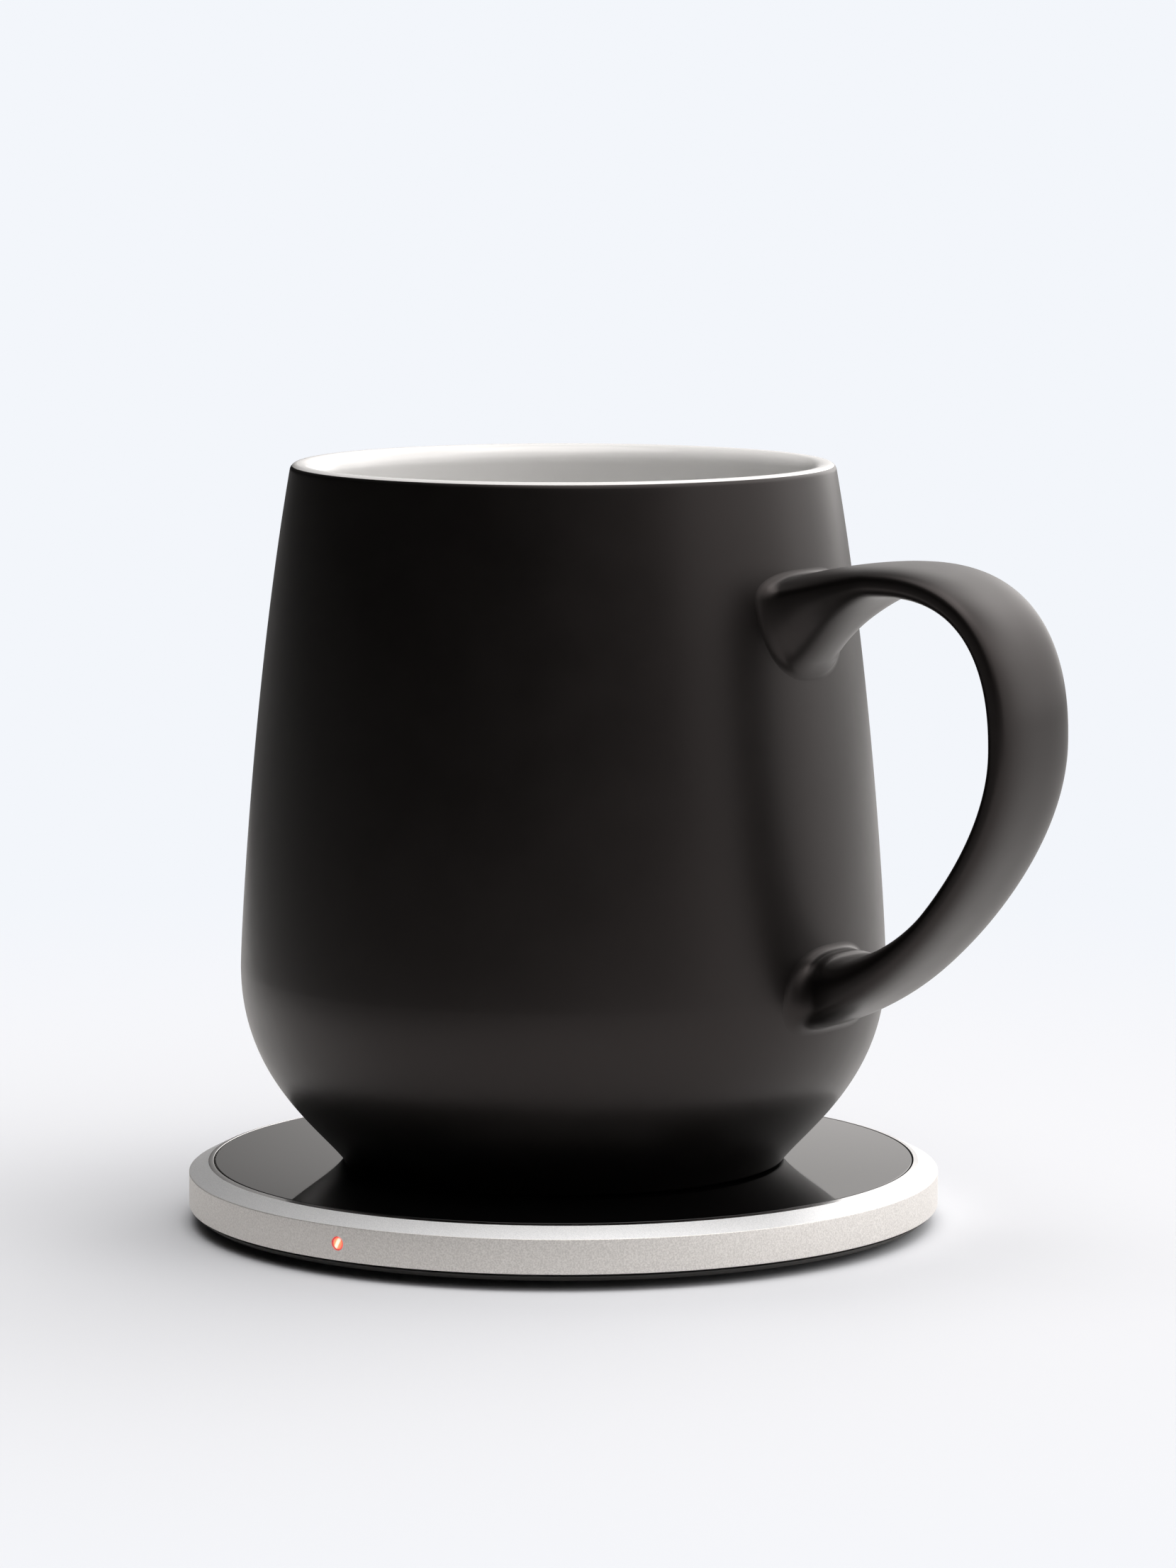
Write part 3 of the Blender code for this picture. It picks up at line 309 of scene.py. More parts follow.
def handle_path():
    """Closely spaced points along the middle of the handle, from its top root down."""
    top = Vector((wall_radius(TOP_ROOT_HEIGHT) - ROOT_SINK, TOP_ROOT_HEIGHT))
    low = Vector((wall_radius(LOW_ROOT_HEIGHT) - ROOT_SINK, LOW_ROOT_HEIGHT))
    before_crest = CREST - Vector((CREST_PULLS[0], 0))
    after_crest = CREST + Vector((CREST_PULLS[1], 0))
    above_outer = OUTER + Vector((0, OUTER_PULLS[0]))
    below_outer = OUTER - Vector((0, OUTER_PULLS[1]))
    knee = low + Vector((math.cos(KNEE_LIFT), math.sin(KNEE_LIFT))) * KNEE_REACH
    spans = [
        bezier(top, top.lerp(before_crest, 0.5), before_crest, CREST, steps=100),
        bezier(CREST, after_crest, above_outer, OUTER, steps=100),
        bezier(OUTER, below_outer, knee, low, steps=200),
    ]
    return np.vstack(spans + [[low]])


path = handle_path()
path_lengths = np.concatenate([[0], np.cumsum(np.hypot(*np.diff(path, axis=0).T))])
path_share = path_lengths / path_lengths[-1]
path_way = np.gradient(path, path_share, axis=0)
path_way /= np.hypot(*path_way.T)[:, None]


def on_path(values, share):
    """One of the path's tables of pairs, read at a share of its length."""
    return Vector([np.interp(share, path_share, column) for column in values.T])


def rounded_section(angle, power):
    """Across and outward parts, from -1 to 1, of a rounded rectangle at an angle."""
    cosine, sine = math.cos(angle), math.sin(angle)
    across = math.copysign(abs(cosine) ** (2 / power), cosine)
    return across, math.copysign(abs(sine) ** (2 / power), sine)


def strap_point(share, angle):
    """A point of the handle without its fillets: share is along it, the angle round it."""
    middle = on_path(path, share)
    way_on = on_path(path_way, share)
    square = Vector((-way_on.y, way_on.x)).normalized()
    width = STRAP_WIDTH - STRAP_TAPER * share
    thickness = STRAP_THICKNESS - STRAP_THINNING * share
    end = 0 if share < 0.5 else 1
    wall = wall_way(middle.y) * (-1 if end else 1)
    depth = middle.x - wall_radius(middle.y)
    nearness = min(1.0, max(0.0, 1 - depth / LEAN_REACH))
    nearness = nearness**2 * (3 - 2 * nearness)
    axis = square.lerp(wall, nearness).normalized()
    thickness /= axis.dot(square)
    out = max(0.0, depth)
    root = max(0.0, 1 - out / SWELL_REACHES[end]) ** SWELL_POWERS[end]
    neck = 4 * root * (1 - root)
    swell = SWELLS[end] * root
    dip = DIPS[end] * max(0.0, 1 - out / DIP_REACHES[end]) ** 2
    power = SECTION_POWER + (ROOT_SECTION_POWERS[end] - SECTION_POWER) * root
    power += NECK_POWERS[end] * neck
    across, outward = rounded_section(angle, power)
    centre = -CENTRE_SHARES[end] * swell
    if outward > 0:
        lift = centre + outward * (thickness / 2 - dip - centre)
    else:
        lift = centre + outward * (thickness / 2 + swell + centre)
    point = middle + axis * lift
    half_width = width / 2 - NARROWINGS[end] * root - NECK_NARROWINGS[end] * neck
    return Vector((point.x, across * half_width, point.y))


def depth_of(point):
    """How far a point is out from the mug's wall."""
    return math.hypot(point.x, point.y) - wall_radius(point.z)


def share_at_depth(angle, depth, end):
    """Where along the handle a line of its section lies at a distance from the wall."""
    near, far = ROOT_SEARCHES[end]
    for _ in range(SEARCH_STEPS):
        middle = (near + far) / 2
        if depth_of(strap_point(middle, angle)) < depth:
            near = middle
        else:
            far = middle
    return (near + far) / 2


def fillet_radius(outward, end):
    """The fillet's radius at a root, by the way that the section faces."""
    side, inside, outside = FILLETS[end]
    facing = inside if outward < 0 else outside
    return side + (facing - side) * abs(outward)


def fillet_points(angle, end):
    """The points of one line of a root's fillet from the strap inward, and their shares."""
    cosine, sine = math.cos(angle), math.sin(angle)
    radius = fillet_radius(sine, end)
    fillet = []
    for step in range(FILLET_RINGS + 1):
        turn = math.pi / 2 * step / FILLET_RINGS
        depth = radius * (1 - math.sin(turn))
        share = share_at_depth(angle, depth, end)
        point = strap_point(share, angle)
        grown = radius * (1 - math.cos(turn))
        up = wall_way(point.z) * (-1 if end else 1)
        point += Vector((up.x * sine, cosine, up.y * sine)) * grown
        sink = FILLET_SINK if step == FILLET_RINGS else 0
        reach = wall_radius(point.z) + depth - sink
        point.x = math.sqrt(reach**2 - point.y**2)
        fillet.append((point, share))
    return fillet


def strap_column(angle):
    """The points down one line of the handle, with its fillets at both roots."""
    top, low = fillet_points(angle, 0), fillet_points(angle, 1)
    column = [point for point, share in reversed(top)]
    first, last = top[0][1], low[0][1]
    for step in range(1, STRAP_RINGS):
        share = first + (last - first) * step / STRAP_RINGS
        column.append(strap_point(share, angle))
    return column + [point for point, share in low]


def add_handle(shape):
    angles = [2 * math.pi * step / STRAP_COLUMNS for step in range(STRAP_COLUMNS)]
    columns = [strap_column(angle) for angle in angles]
    loft(shape, list(zip(*columns)), cap=False)


# Materials

class Nodes:
    """A material's node tree, with short calls for the nodes used here."""

    def __init__(self, name, color, roughness, metallic=0.0, specular=0.5):
        self.material = bpy.data.materials.new(name)
        self.material.use_nodes = True
        self.tree = self.material.node_tree
        self.shader = self.tree.nodes["Principled BSDF"]
        self.set("Base Color", (*color, 1))
        self.set("Roughness", roughness)
        self.set("Metallic", metallic)
        self.set("Specular IOR Level", specular)
        self.material.diffuse_color = (*color, 1)
        self.place = self.add("ShaderNodeTexCoord").outputs["Object"]
        self.height = None

    def set(self, socket, value):
        self.shader.inputs[socket].default_value = value

    def add(self, kind, **values):
        node = self.tree.nodes.new(kind)
        for name, value in values.items():
            setattr(node, name, value)
        return node

    def link(self, source, target):
        self.tree.links.new(source, target)

    def vector(self, kind, source, value=None):
        """A vector sum on a source, with a fixed second part."""
        node = self.add("ShaderNodeVectorMath", operation=kind)
        self.link(source, node.inputs[0])
        if value is not None:
            node.inputs[1].default_value = value
        return node.outputs

    def noise(self, size, detail=2.0, roughness=0.5):
        """Noise whose features are about size millimetres across."""
        scale = self.add("ShaderNodeMapping")
        scale.inputs["Scale"].default_value = (1 / (size * MM),) * 3
        self.link(self.place, scale.inputs["Vector"])
        noise = self.add("ShaderNodeTexNoise")
        noise.inputs["Scale"].default_value = 1.0
        noise.inputs["Detail"].default_value = detail
        noise.inputs["Roughness"].default_value = roughness
        self.link(scale.outputs[0], noise.inputs["Vector"])
        return noise.outputs["Fac"]

    def spread(self, source, low, high, first=0.3, last=0.7):
        """A number from low to high as the source goes from first to last."""
        node = self.add("ShaderNodeMapRange")
        node.inputs["From Min"].default_value = first
        node.inputs["From Max"].default_value = last
        node.inputs["To Min"].default_value = low
        node.inputs["To Max"].default_value = high
        self.link(source, node.inputs["Value"])
        return node.outputs[0]

    def ramp(self, source, stops):
        """A colour ramp of (position, colour) stops."""
        node = self.add("ShaderNodeValToRGB")
        elements = node.color_ramp.elements
        while len(elements) < len(stops):
            elements.new(0.5)
        for element, (position, color) in zip(elements, stops):
            element.position = position
            element.color = (*color, 1)
        self.link(source, node.inputs["Fac"])
        return node.outputs["Color"]

    def bump(self, source, depth):
        """Adds relief of a depth in millimetres."""
        node = self.add("ShaderNodeBump")
        node.inputs["Strength"].default_value = 1.0
        node.inputs["Distance"].default_value = depth * MM
        self.link(source, node.inputs["Height"])
        if self.height:
            self.link(self.height, node.inputs["Normal"])
        self.height = node.outputs["Normal"]
        self.link(self.height, self.shader.inputs["Normal"])

    def color(self, source, low, high, first=0.3, last=0.7):
        """A base colour from low to high as the source goes from first to last."""
        shade = self.ramp(source, ((first, low), (last, high)))
        self.link(shade, self.shader.inputs["Base Color"])

    def roughness(self, source, low, high):
        self.link(self.spread(source, low, high), self.shader.inputs["Roughness"])


def make_glaze():
    """Matte black glaze: a stony grain over a faint waviness, under a weak, clearer coat."""
    nodes = Nodes("black_glaze_look", (0.0018, 0.0016, 0.0015), 0.40, specular=0.34)
    nodes.set("Specular Tint", (1.0, 0.87, 0.85, 1))
    nodes.set("Coat Weight", 0.35)
    nodes.set("Coat Roughness", 0.27)
    nodes.set("Coat IOR", 1.28)
    cloud = nodes.noise(9.0, detail=3.0, roughness=0.55)
    nodes.color(cloud, (0.0014, 0.0013, 0.0012), (0.0021, 0.0019, 0.0018))
    nodes.roughness(cloud, 0.38, 0.42)
    nodes.bump(nodes.noise(14.0, detail=1.0, roughness=0.4), 0.010)
    nodes.bump(nodes.noise(0.16, roughness=0.6), 0.0032)
    return nodes.material


def make_white_glaze():
    """Glossy white glaze on the bowl and the lip."""
    nodes = Nodes("white_glaze_look", (0.83, 0.83, 0.825), 0.10)
    cloud = nodes.noise(11.0)
    nodes.color(cloud, (0.815, 0.815, 0.81), (0.85, 0.85, 0.845))
    nodes.roughness(cloud, 0.08, 0.13)
    nodes.bump(nodes.noise(7.0, detail=1.0, roughness=0.4), 0.004)
    return nodes.material


def make_blasted():
    """Bead blasted, clear anodised aluminium: a sparkling grain of fine dimples."""
    nodes = Nodes("blasted_aluminium_look", (0.78, 0.765, 0.75), 0.55, metallic=1.0)
    speck = nodes.noise(0.22, detail=1.0)
    nodes.color(speck, (0.68, 0.665, 0.65), (0.86, 0.845, 0.83), first=0.32, last=0.68)
    nodes.roughness(speck, 0.50, 0.60)
    nodes.bump(nodes.noise(0.13, detail=1.0, roughness=0.7), 0.010)
    return nodes.material


def make_bevel():
    """The housing's bevel: the same blasting, but finer and cooler, with its colour made
    brighter as a painted highlight for the overhead light that the bevel catches.
    """
    # The brighter colour is painted highlight; the bevel is the same aluminium as the side.
    nodes = Nodes("bevel_painted_highlight_look", (0.86, 0.87, 0.88), 0.60, metallic=1.0)
    speck = nodes.noise(0.16, detail=1.0)
    nodes.color(speck, (0.80, 0.815, 0.83), (0.92, 0.93, 0.94), first=0.32, last=0.68)
    nodes.roughness(speck, 0.56, 0.64)
    nodes.bump(nodes.noise(0.10, detail=1.0, roughness=0.7), 0.006)
    return nodes.material


def make_polished():
    """The cut and polished land beside the glass, just short of a mirror."""
    nodes = Nodes("polished_land_look", (0.88, 0.88, 0.88), 0.16, metallic=1.0)
    nodes.roughness(nodes.noise(1.5), 0.12, 0.20)
    nodes.bump(nodes.noise(0.3, detail=1.0), 0.0008)
    return nodes.material


def make_glass():
    """Black backed glass: a clean mirror with the faintest dust."""
    clean, dusty = (0.0015, 0.0015, 0.0016), (0.006, 0.006, 0.0065)
    nodes = Nodes("black_glass_look", clean, 0.035)
    nodes.roughness(nodes.noise(16.0, detail=3.0, roughness=0.6), 0.025, 0.06)
    nodes.color(nodes.noise(0.25), clean, dusty, first=0.70, last=0.85)
    return nodes.material


# The pale streak's turn and half length, and where the deeper rim starts and is full
STREAK_TURN = -28
STREAK_REACH = 0.95
DEEP_RIM = (0.62, 0.86)


def make_lamp():
    """The lit window: orange red, with a pale streak across it and a deeper rim."""
    nodes = Nodes("status_light_look", (0.85, 0.16, 0.10), 0.12)
    shift = nodes.vector("SUBTRACT", nodes.place, (0, 0, SIDE_MIDDLE * MM))["Vector"]
    turn = nodes.add("ShaderNodeMapping")
    turn.inputs["Rotation"].default_value = (0, math.radians(STREAK_TURN), 0)
    nodes.link(shift, turn.inputs["Vector"])
    parts = nodes.add("ShaderNodeSeparateXYZ")
    nodes.link(turn.outputs[0], parts.inputs[0])
    half = STREAK_REACH * MM
    streak = nodes.ramp(
        nodes.spread(parts.outputs["X"], 0.0, 1.0, -half, half),
        (
            (0.0, (0.95, 0.16, 0.14)),
            (0.30, (0.96, 0.30, 0.13)),
            (0.42, (1.0, 0.78, 0.62)),
            (0.56, (1.0, 0.80, 0.66)),
            (0.66, (0.96, 0.30, 0.13)),
            (1.0, (0.85, 0.10, 0.10)),
        ),
    )
    flat = nodes.vector("MULTIPLY", shift, (1, 0, 1))["Vector"]
    distance = nodes.vector("LENGTH", flat)["Value"]
    rim_share = nodes.spread(distance, 0.0, 1.0, *(edge * MM for edge in DEEP_RIM))
    mix = nodes.add("ShaderNodeMix", data_type="RGBA")
    nodes.link(rim_share, mix.inputs["Factor"])
    nodes.link(streak, mix.inputs["A"])
    mix.inputs["B"].default_value = (0.72, 0.06, 0.07, 1)
    nodes.link(mix.outputs["Result"], nodes.shader.inputs["Base Color"])
    nodes.link(mix.outputs["Result"], nodes.shader.inputs["Emission Color"])
    nodes.set("Emission Strength", 0.85)
    return nodes.material


# A plain look's clouds are this many grains across, and its roughness wanders by this share
CLOUD_SIZE = 18
ROUGHNESS_WANDER = 0.12


def grained(name, color, rough, size, depth, vary=0.15, metallic=0.0):
    """A material with fine relief, and a colour and roughness that wander a little."""
    nodes = Nodes(name, color, rough, metallic)
    cloud = nodes.noise(size * CLOUD_SIZE)
    low, high = (tuple(part * (1 + by) for part in color) for by in (-vary, vary))
    nodes.color(cloud, low, high)
    nodes.roughness(cloud, rough * (1 - ROUGHNESS_WANDER), rough * (1 + ROUGHNESS_WANDER))
    nodes.bump(nodes.noise(size, detail=3.0, roughness=0.6), depth)
    return nodes.material


# Each slot's look: name, colour, roughness, grain and relief in millimetres, then how
# much the colour wanders and how metallic it is, where these aren't the usual
PLAIN_LOOKS = {
    "black_plastic": ("black_plastic_look", (0.016, 0.0155, 0.015), 0.50, 0.12, 0.006),
    "frame_plastic": ("frame_plastic_look", (0.10, 0.10, 0.11), 0.5, 0.15, 0.006),
    "foot_rubber": ("foot_rubber_look", (0.022, 0.022, 0.022), 0.85, 0.20, 0.015),
    "copper_wire": ("copper_wire_look", (0.72, 0.30, 0.15), 0.30, 0.08, 0.002, 0.1, 1.0),
    "ferrite_ceramic": ("ferrite_look", (0.045, 0.043, 0.045), 0.6, 0.10, 0.006),
    "board_laminate": ("board_look", (0.018, 0.14, 0.06), 0.38, 0.25, 0.003, 0.2),
    "chip_resin": ("chip_look", (0.020, 0.020, 0.022), 0.55, 0.05, 0.003),
    "capacitor_ceramic": ("capacitor_look", (0.42, 0.30, 0.20), 0.5, 0.05, 0.002),
    "screw_steel": ("steel_look", (0.56, 0.55, 0.54), 0.28, 0.06, 0.002, 0.08, 1.0),
    "led_resin": ("led_look", (0.90, 0.84, 0.72), 0.3, 0.2, 0.002),
    "black_tape": ("tape_look", (0.02, 0.02, 0.02), 0.8, 0.15, 0.01),
    "silicone_rubber": ("silicone_look", (0.55, 0.56, 0.58), 0.65, 0.2, 0.006),
    "insulation_board": ("insulation_look", (0.72, 0.66, 0.52), 0.85, 0.3, 0.03),
    "heater_foil": ("heater_look", (0.52, 0.33, 0.10), 0.35, 0.3, 0.004, 0.15, 0.4),
}
looks = {slot: grained(*values) for slot, values in PLAIN_LOOKS.items()}

for part in frame["record"]["subparts"]:
    look = looks.get(part["material_slot"])
    if look:
        for place in frame["nodes"][part["node"]].material_slots:
            place.material = look


# The mug

FOOT_RING_WIDTH = 3.2
FOOT_ROUND = 0.5
SEAT_HEIGHT = MUG_BASE + 2.4
SOCKET_RADIUS = 25.8
SOCKET_TOP = MUG_BASE + 9.4
LOW_CURVE_FROM = MUG_BASE + 0.6
OUTER_LIP_ROUND = 1.1
INNER_LIP_ROUND = 2.3
OUTER_LIP_STEPS = 16
INNER_LIP_STEPS = 12
# The step of the outer lip at which the black glaze ends and the white one begins
BORDER_STEP = 7
# Nearer than this to a rounding, the points of a curve are left out
ROUNDING_GAP = 0.2
BOWL_FLOOR = MUG_BASE + 13.4
BOWL_FLOOR_RADII = (23.0, 18.0, 12.0, 6.0, 0)
BOWL_PULL_DOWN = 0.64
BOWL_PULL_OUT = 0.62


def black_outline(outer_lip):
    """The mug from the middle of its socket, round the foot ring and up to the border."""
    ring_inside = (FOOT_RADIUS - FOOT_RING_WIDTH, MUG_BASE)
    seat = (FOOT_RADIUS - FOOT_RING_WIDTH, SEAT_HEIGHT)
    outline = [(0, SOCKET_TOP), (SOCKET_RADIUS, SOCKET_TOP), (SOCKET_RADIUS, SEAT_HEIGHT), seat]
    outline += arc_corner(seat, ring_inside, foot, FOOT_ROUND, steps=5)
    outline += arc_corner(ring_inside, foot, low_curve[1], FOOT_ROUND, steps=5)
    outline += [tuple(point) for point in low_curve if point[1] > LOW_CURVE_FROM]
    top = outer_lip[0][1] - ROUNDING_GAP
    outline += [tuple(point) for point in side_curve if point[1] < top]
    return outline + outer_lip[: BORDER_STEP + 1]


def white_outline(outer_lip):
    """The mug from the border, over the lip and down to the middle of the bowl's floor."""
    inner_lip = arc_corner(rim, inner_rim, inner_curve[-1], INNER_LIP_ROUND, INNER_LIP_STEPS)
    floor_edge = (BOWL_FLOOR_RADII[0], BOWL_FLOOR)
    drop = BOWL_PULL_DOWN * (inner_belly[1] - BOWL_FLOOR)
    run = BOWL_PULL_OUT * (inner_belly[0] - floor_edge[0])
    side_pull = (inner_belly[0], inner_belly[1] - drop)
    floor_pull = (floor_edge[0] + run, BOWL_FLOOR)
    bowl = bezier(inner_belly, side_pull, floor_pull, floor_edge, steps=30)
    top = inner_lip[-1][1] - ROUNDING_GAP
    outline = outer_lip[BORDER_STEP:] + inner_lip
    outline += [tuple(point) for point in inner_curve[::-1] if point[1] < top]
    outline += [tuple(point) for point in bowl[1:]]
    return outline + [(radius, BOWL_FLOOR) for radius in BOWL_FLOOR_RADII]


def add_mug():
    outer_lip = arc_corner(side_curve[-1], rim, inner_rim, OUTER_LIP_ROUND, OUTER_LIP_STEPS)
    shape = bmesh.new()
    lathe(shape, black_outline(outer_lip))
    bmesh.ops.recalc_face_normals(shape, faces=shape.faces)
    add_handle(shape)
    mesh = smooth_mesh(shape, "mug_body")
    add_object("mug_body", mesh, "mug", "mug_shell", [make_glaze()])
    mesh = turned_mesh("mug_glaze", white_outline(outer_lip))
    add_object("mug_glaze", mesh, "mug", "mug_shell", [make_white_glaze()])


# The coaster, with outlines of (radius, height) or (radius, height, rounding)

HOUSING = (
    (52.0, 2.35, 0.20),
    (52.0, 7.05, 0.12),
    (49.3, 8.40, 0.10),
    (48.6, 8.55, 0.05),
    (48.6, 5.80),
    (45.2, 5.80),
    (45.2, 4.80),
    (49.9, 4.80),
    (49.9, 2.35),
)
GLASS = ((0, 7.55), (48.4, 7.55), (48.4, GLASS_TOP, 0.12), (0, GLASS_TOP))
COVER = (
    (0, 1.60),
    (42.3, 1.60),
    (42.3, 1.30, 0.08),
    (50.6, 1.30, 0.15),
    (51.6, 2.05, 0.06),
    (49.6, 2.05),
    (49.6, 2.30),
    (0, 2.30),
)
# The housing's window hole, its power opening and the pocket behind that, with the two Y
# values between which each is cut
WINDOW_HOLE = 0.95
WINDOW_CUT = (-43.0, -53.0)
PORT = (9.54, 3.86)
PORT_CUT = (48.5, 53.0)
POCKET_CUT = (42.25, 49.9)
# Radii and least height of the polished land, and the least of both of the bevel
LAND_RADII = (48.55, 49.32)
LAND_HEIGHT = 8.3
BEVEL_RADIUS = 49.3
BEVEL_HEIGHT = 7.1
# The foot: rings that stand out, between grooves with sloping sides
FOOT_RINGS = 12
FIRST_RING = 3.0
RING_PITCH = 3.2
RING_WIDTH = 2.4
GROOVE_SLOPE = 0.15
GROOVE_DEPTH = 0.12
FOOT_EDGE = ((40.9, GROOVE_DEPTH), (41.05, 0), (42.0, 0, 0.3), (42.0, 1.5), (0, 1.5))
FOOT_SHARP = 25
# The light's window as (radius, Y), from its back to its domed front
WINDOW = (
    (0.0, -44.3),
    (0.85, -44.3),
    (0.85, -51.72),
    (0.80, -51.83),
    (0.65, -51.90),
    (0.35, -51.94),
    (0.0, -51.95),
)
# The inlet's shell as (width, height, Y): its outside to the lip, then its inside
INLET = (
    (8.94, 3.26, 44.25),
    (8.94, 3.26, 51.52),
    (8.86, 3.18, 51.60),
    (8.42, 2.74, 51.60),
    (8.34, 2.66, 51.52),
    (8.34, 2.66, 45.05),
)


def drilled(name, mesh, cutters):
    """The mesh with holes cut through it."""
    block = bpy.data.objects.new("drilling_" + name, mesh)
    bpy.context.scene.collection.objects.link(block)
    for cutter in cutters:
        modifier = block.modifiers.new("cut", "BOOLEAN")
        modifier.operation = "DIFFERENCE"
        modifier.solver = "EXACT"
        modifier.object = cutter
    bpy.context.view_layer.update()
    graph = bpy.context.evaluated_depsgraph_get()
    result = bpy.data.meshes.new_from_object(block.evaluated_get(graph), depsgraph=graph)
    for item in [block] + cutters:
        bpy.data.objects.remove(item, do_unlink=True)
    result.name = name
    return result


def ring_at(outline, y):
    """An outline in X and Z about the side's middle, as points at one Y."""
    return [(x, y, z + SIDE_MIDDLE) for x, z in outline]


def lofted_mesh(name, rings, angle=SHARP):
    shape = bmesh.new()
    loft(shape, rings)
    bmesh.ops.recalc_face_normals(shape, faces=shape.faces)
    return smooth_mesh(shape, name, angle)


def cutter_along_y(outline, ends):
    """A cutter with an outline about the side's middle, from one Y to another."""
    mesh = lofted_mesh("cutter", [ring_at(outline, y) for y in ends])
    made = bpy.data.objects.new("cutter", mesh)
    bpy.context.scene.collection.objects.link(made)
    return made


def housing_part(face):
    """The material of a face of the housing: 0 its side, 1 its land and 2 its bevel."""
    radius = math.hypot(face.center.x, face.center.y) / MM
    if LAND_RADII[0] < radius < LAND_RADII[1] and face.center.z > LAND_HEIGHT * MM:
        return 1
    if radius > BEVEL_RADIUS and face.center.z > BEVEL_HEIGHT * MM:
        return 2
    return 0


def add_housing():
    mesh = turned_mesh("housing", rounded(HOUSING), closed=True, angle=METAL_SHARP)
    width, height = PORT
    half_width, half_height = width / 2, height / 2
    pocket = [
        (-half_width, -half_height),
        (half_width, -half_height),
        (half_width, half_height),
        (-half_width, half_height),
    ]
    cutters = [
        cutter_along_y(circle(WINDOW_HOLE), WINDOW_CUT),
        cutter_along_y(stadium(width, height), PORT_CUT),
        cutter_along_y(pocket, POCKET_CUT),
    ]
    mesh = drilled("housing", mesh, cutters)
    mesh.materials.clear()
    materials = [make_blasted(), make_polished(), make_bevel()]
    add_object("housing", mesh, "coaster", "housing_ring", materials)
    soften(mesh, METAL_SHARP)
    for face in mesh.polygons:
        face.material_index = housing_part(face)


def foot_outline():
    outline = [(0, GROOVE_DEPTH)]
    for ring in range(FOOT_RINGS):
        radius = FIRST_RING + ring * RING_PITCH
        outline += [
            (radius, GROOVE_DEPTH),
            (radius + GROOVE_SLOPE, 0),
            (radius + RING_WIDTH, 0),
            (radius + RING_WIDTH + GROOVE_SLOPE, GROOVE_DEPTH),
        ]
    return rounded(outline + list(FOOT_EDGE), 4)


def add_window():
    """The light's window: a short rod with a gently domed and rounded front."""
    shape = bmesh.new()
    lathe(shape, WINDOW, SMALL_ROUND)
    for corner in shape.verts:
        across, up, y = corner.co
        corner.co = (across, y, SIDE_MIDDLE + up)
    bmesh.ops.recalc_face_normals(shape, faces=shape.faces)
    mesh = smooth_mesh(shape, "light_window")
    add_object("light_window", mesh, "coaster", "light_pipe", [make_lamp()])


def add_coaster():
    add_housing()
    mesh = turned_mesh("glass", rounded(GLASS))
    add_object("glass", mesh, "coaster", "top_glass", [make_glass()])
    for name, outline, angle, slot, node in (
        ("base_cover", rounded(COVER, 4), SHARP, "black_plastic", "bottom_cover"),
        ("foot", foot_outline(), FOOT_SHARP, "foot_rubber", "foot_pad"),
    ):
        mesh = turned_mesh(name, outline, angle=angle)
        add_object(name, mesh, "coaster", node, [looks[slot]])
    add_window()
    # The power inlet's metal shell is drawn thin, with a rounded lip.
    rings = [ring_at(stadium(width, height), y) for width, height, y in INLET]
    mesh = lofted_mesh("inlet_shell", rings, METAL_SHARP)
    steel = looks["screw_steel"]
    add_object("inlet_shell", mesh, "coaster", "usb_port_shell", [steel])


add_mug()
add_coaster()


# Floor, light and camera, with the lengths in metres

# What the camera sees: the white behind the object, the radii over which the floor fades
# into it, and the floor near the object
WHITE = (0.896, 0.921, 0.965)
WHITE_EDGE = (0.08, 0.35)
SEEN_SHEET = (0.73, 0.75, 0.785)
# The white sheet that throws light back: its colour, where its middle is, the radii over
# which it ends, and the dark floor beyond it
SHEET = (0.80, 0.80, 0.80)
SHEET_AZIMUTH = 110
SHEET_PLACE = 0.50
SHEET_EDGE = (0.62, 0.74)
ROOM = (0.15, 0.15, 0.15)
# The floor's rings in millimetres, and the points round each
FLOOR_RADII = (0, 60, 120, 300, 900, 6000)
FLOOR_SEGMENTS = 96
# The studio's soft boxes: azimuth, elevation, half width to the edge and half width at
# full strength, all in degrees, and strength
LAMPS = (
    (0, 85, 34, 14, 2.2),
    (35, 55, 42, 16, 1.3),
    (110, 50, 40, 18, 1.4),
    (80, 12, 40, 20, 1.2),
    (135, 5, 38, 22, 1.3),
    (155, 35, 30, 12, 0.7),
    (160, 8, 30, 14, 0.9),
    (180, 50, 45, 20, 0.3),
)
LAMP_COLOR = (1.0, 0.97, 0.95)
AMBIENT = 0.01
# The camera: its way from the object, its distance along that way and to the right of
# it, its height, how far it looks down, and its lens
CAMERA_SIDE = Vector((math.cos(math.radians(-55)), math.sin(math.radians(-55)), 0))
CAMERA_DISTANCE = 0.8644
CAMERA_SHIFT = 0.0034
CAMERA_HEIGHT = 0.16885
CAMERA_PITCH = math.radians(7.13)
CAMERA_LENS = 144.84
RIGHT = Vector((-CAMERA_SIDE.y, CAMERA_SIDE.x, 0))
BACK = -CAMERA_SIDE


def way(azimuth, elevation):
    """A direction: azimuth in degrees from the camera's side round to the right."""
    turn, lift = math.radians(azimuth), math.radians(elevation)
    level = RIGHT * math.sin(turn) - BACK * math.cos(turn)
    return level * math.cos(lift) + Vector((0, 0, math.sin(lift)))


def fade(tree, source, first, last, strength=1.0):
    """A smooth step from zero at first to the strength at last."""
    spread = tree.nodes.new("ShaderNodeMapRange")
    spread.interpolation_type = "SMOOTHSTEP"
    spread.inputs["From Min"].default_value = first
    spread.inputs["From Max"].default_value = last
    spread.inputs["To Max"].default_value = strength
    tree.links.new(source, spread.inputs["Value"])
    return spread.outputs[0]


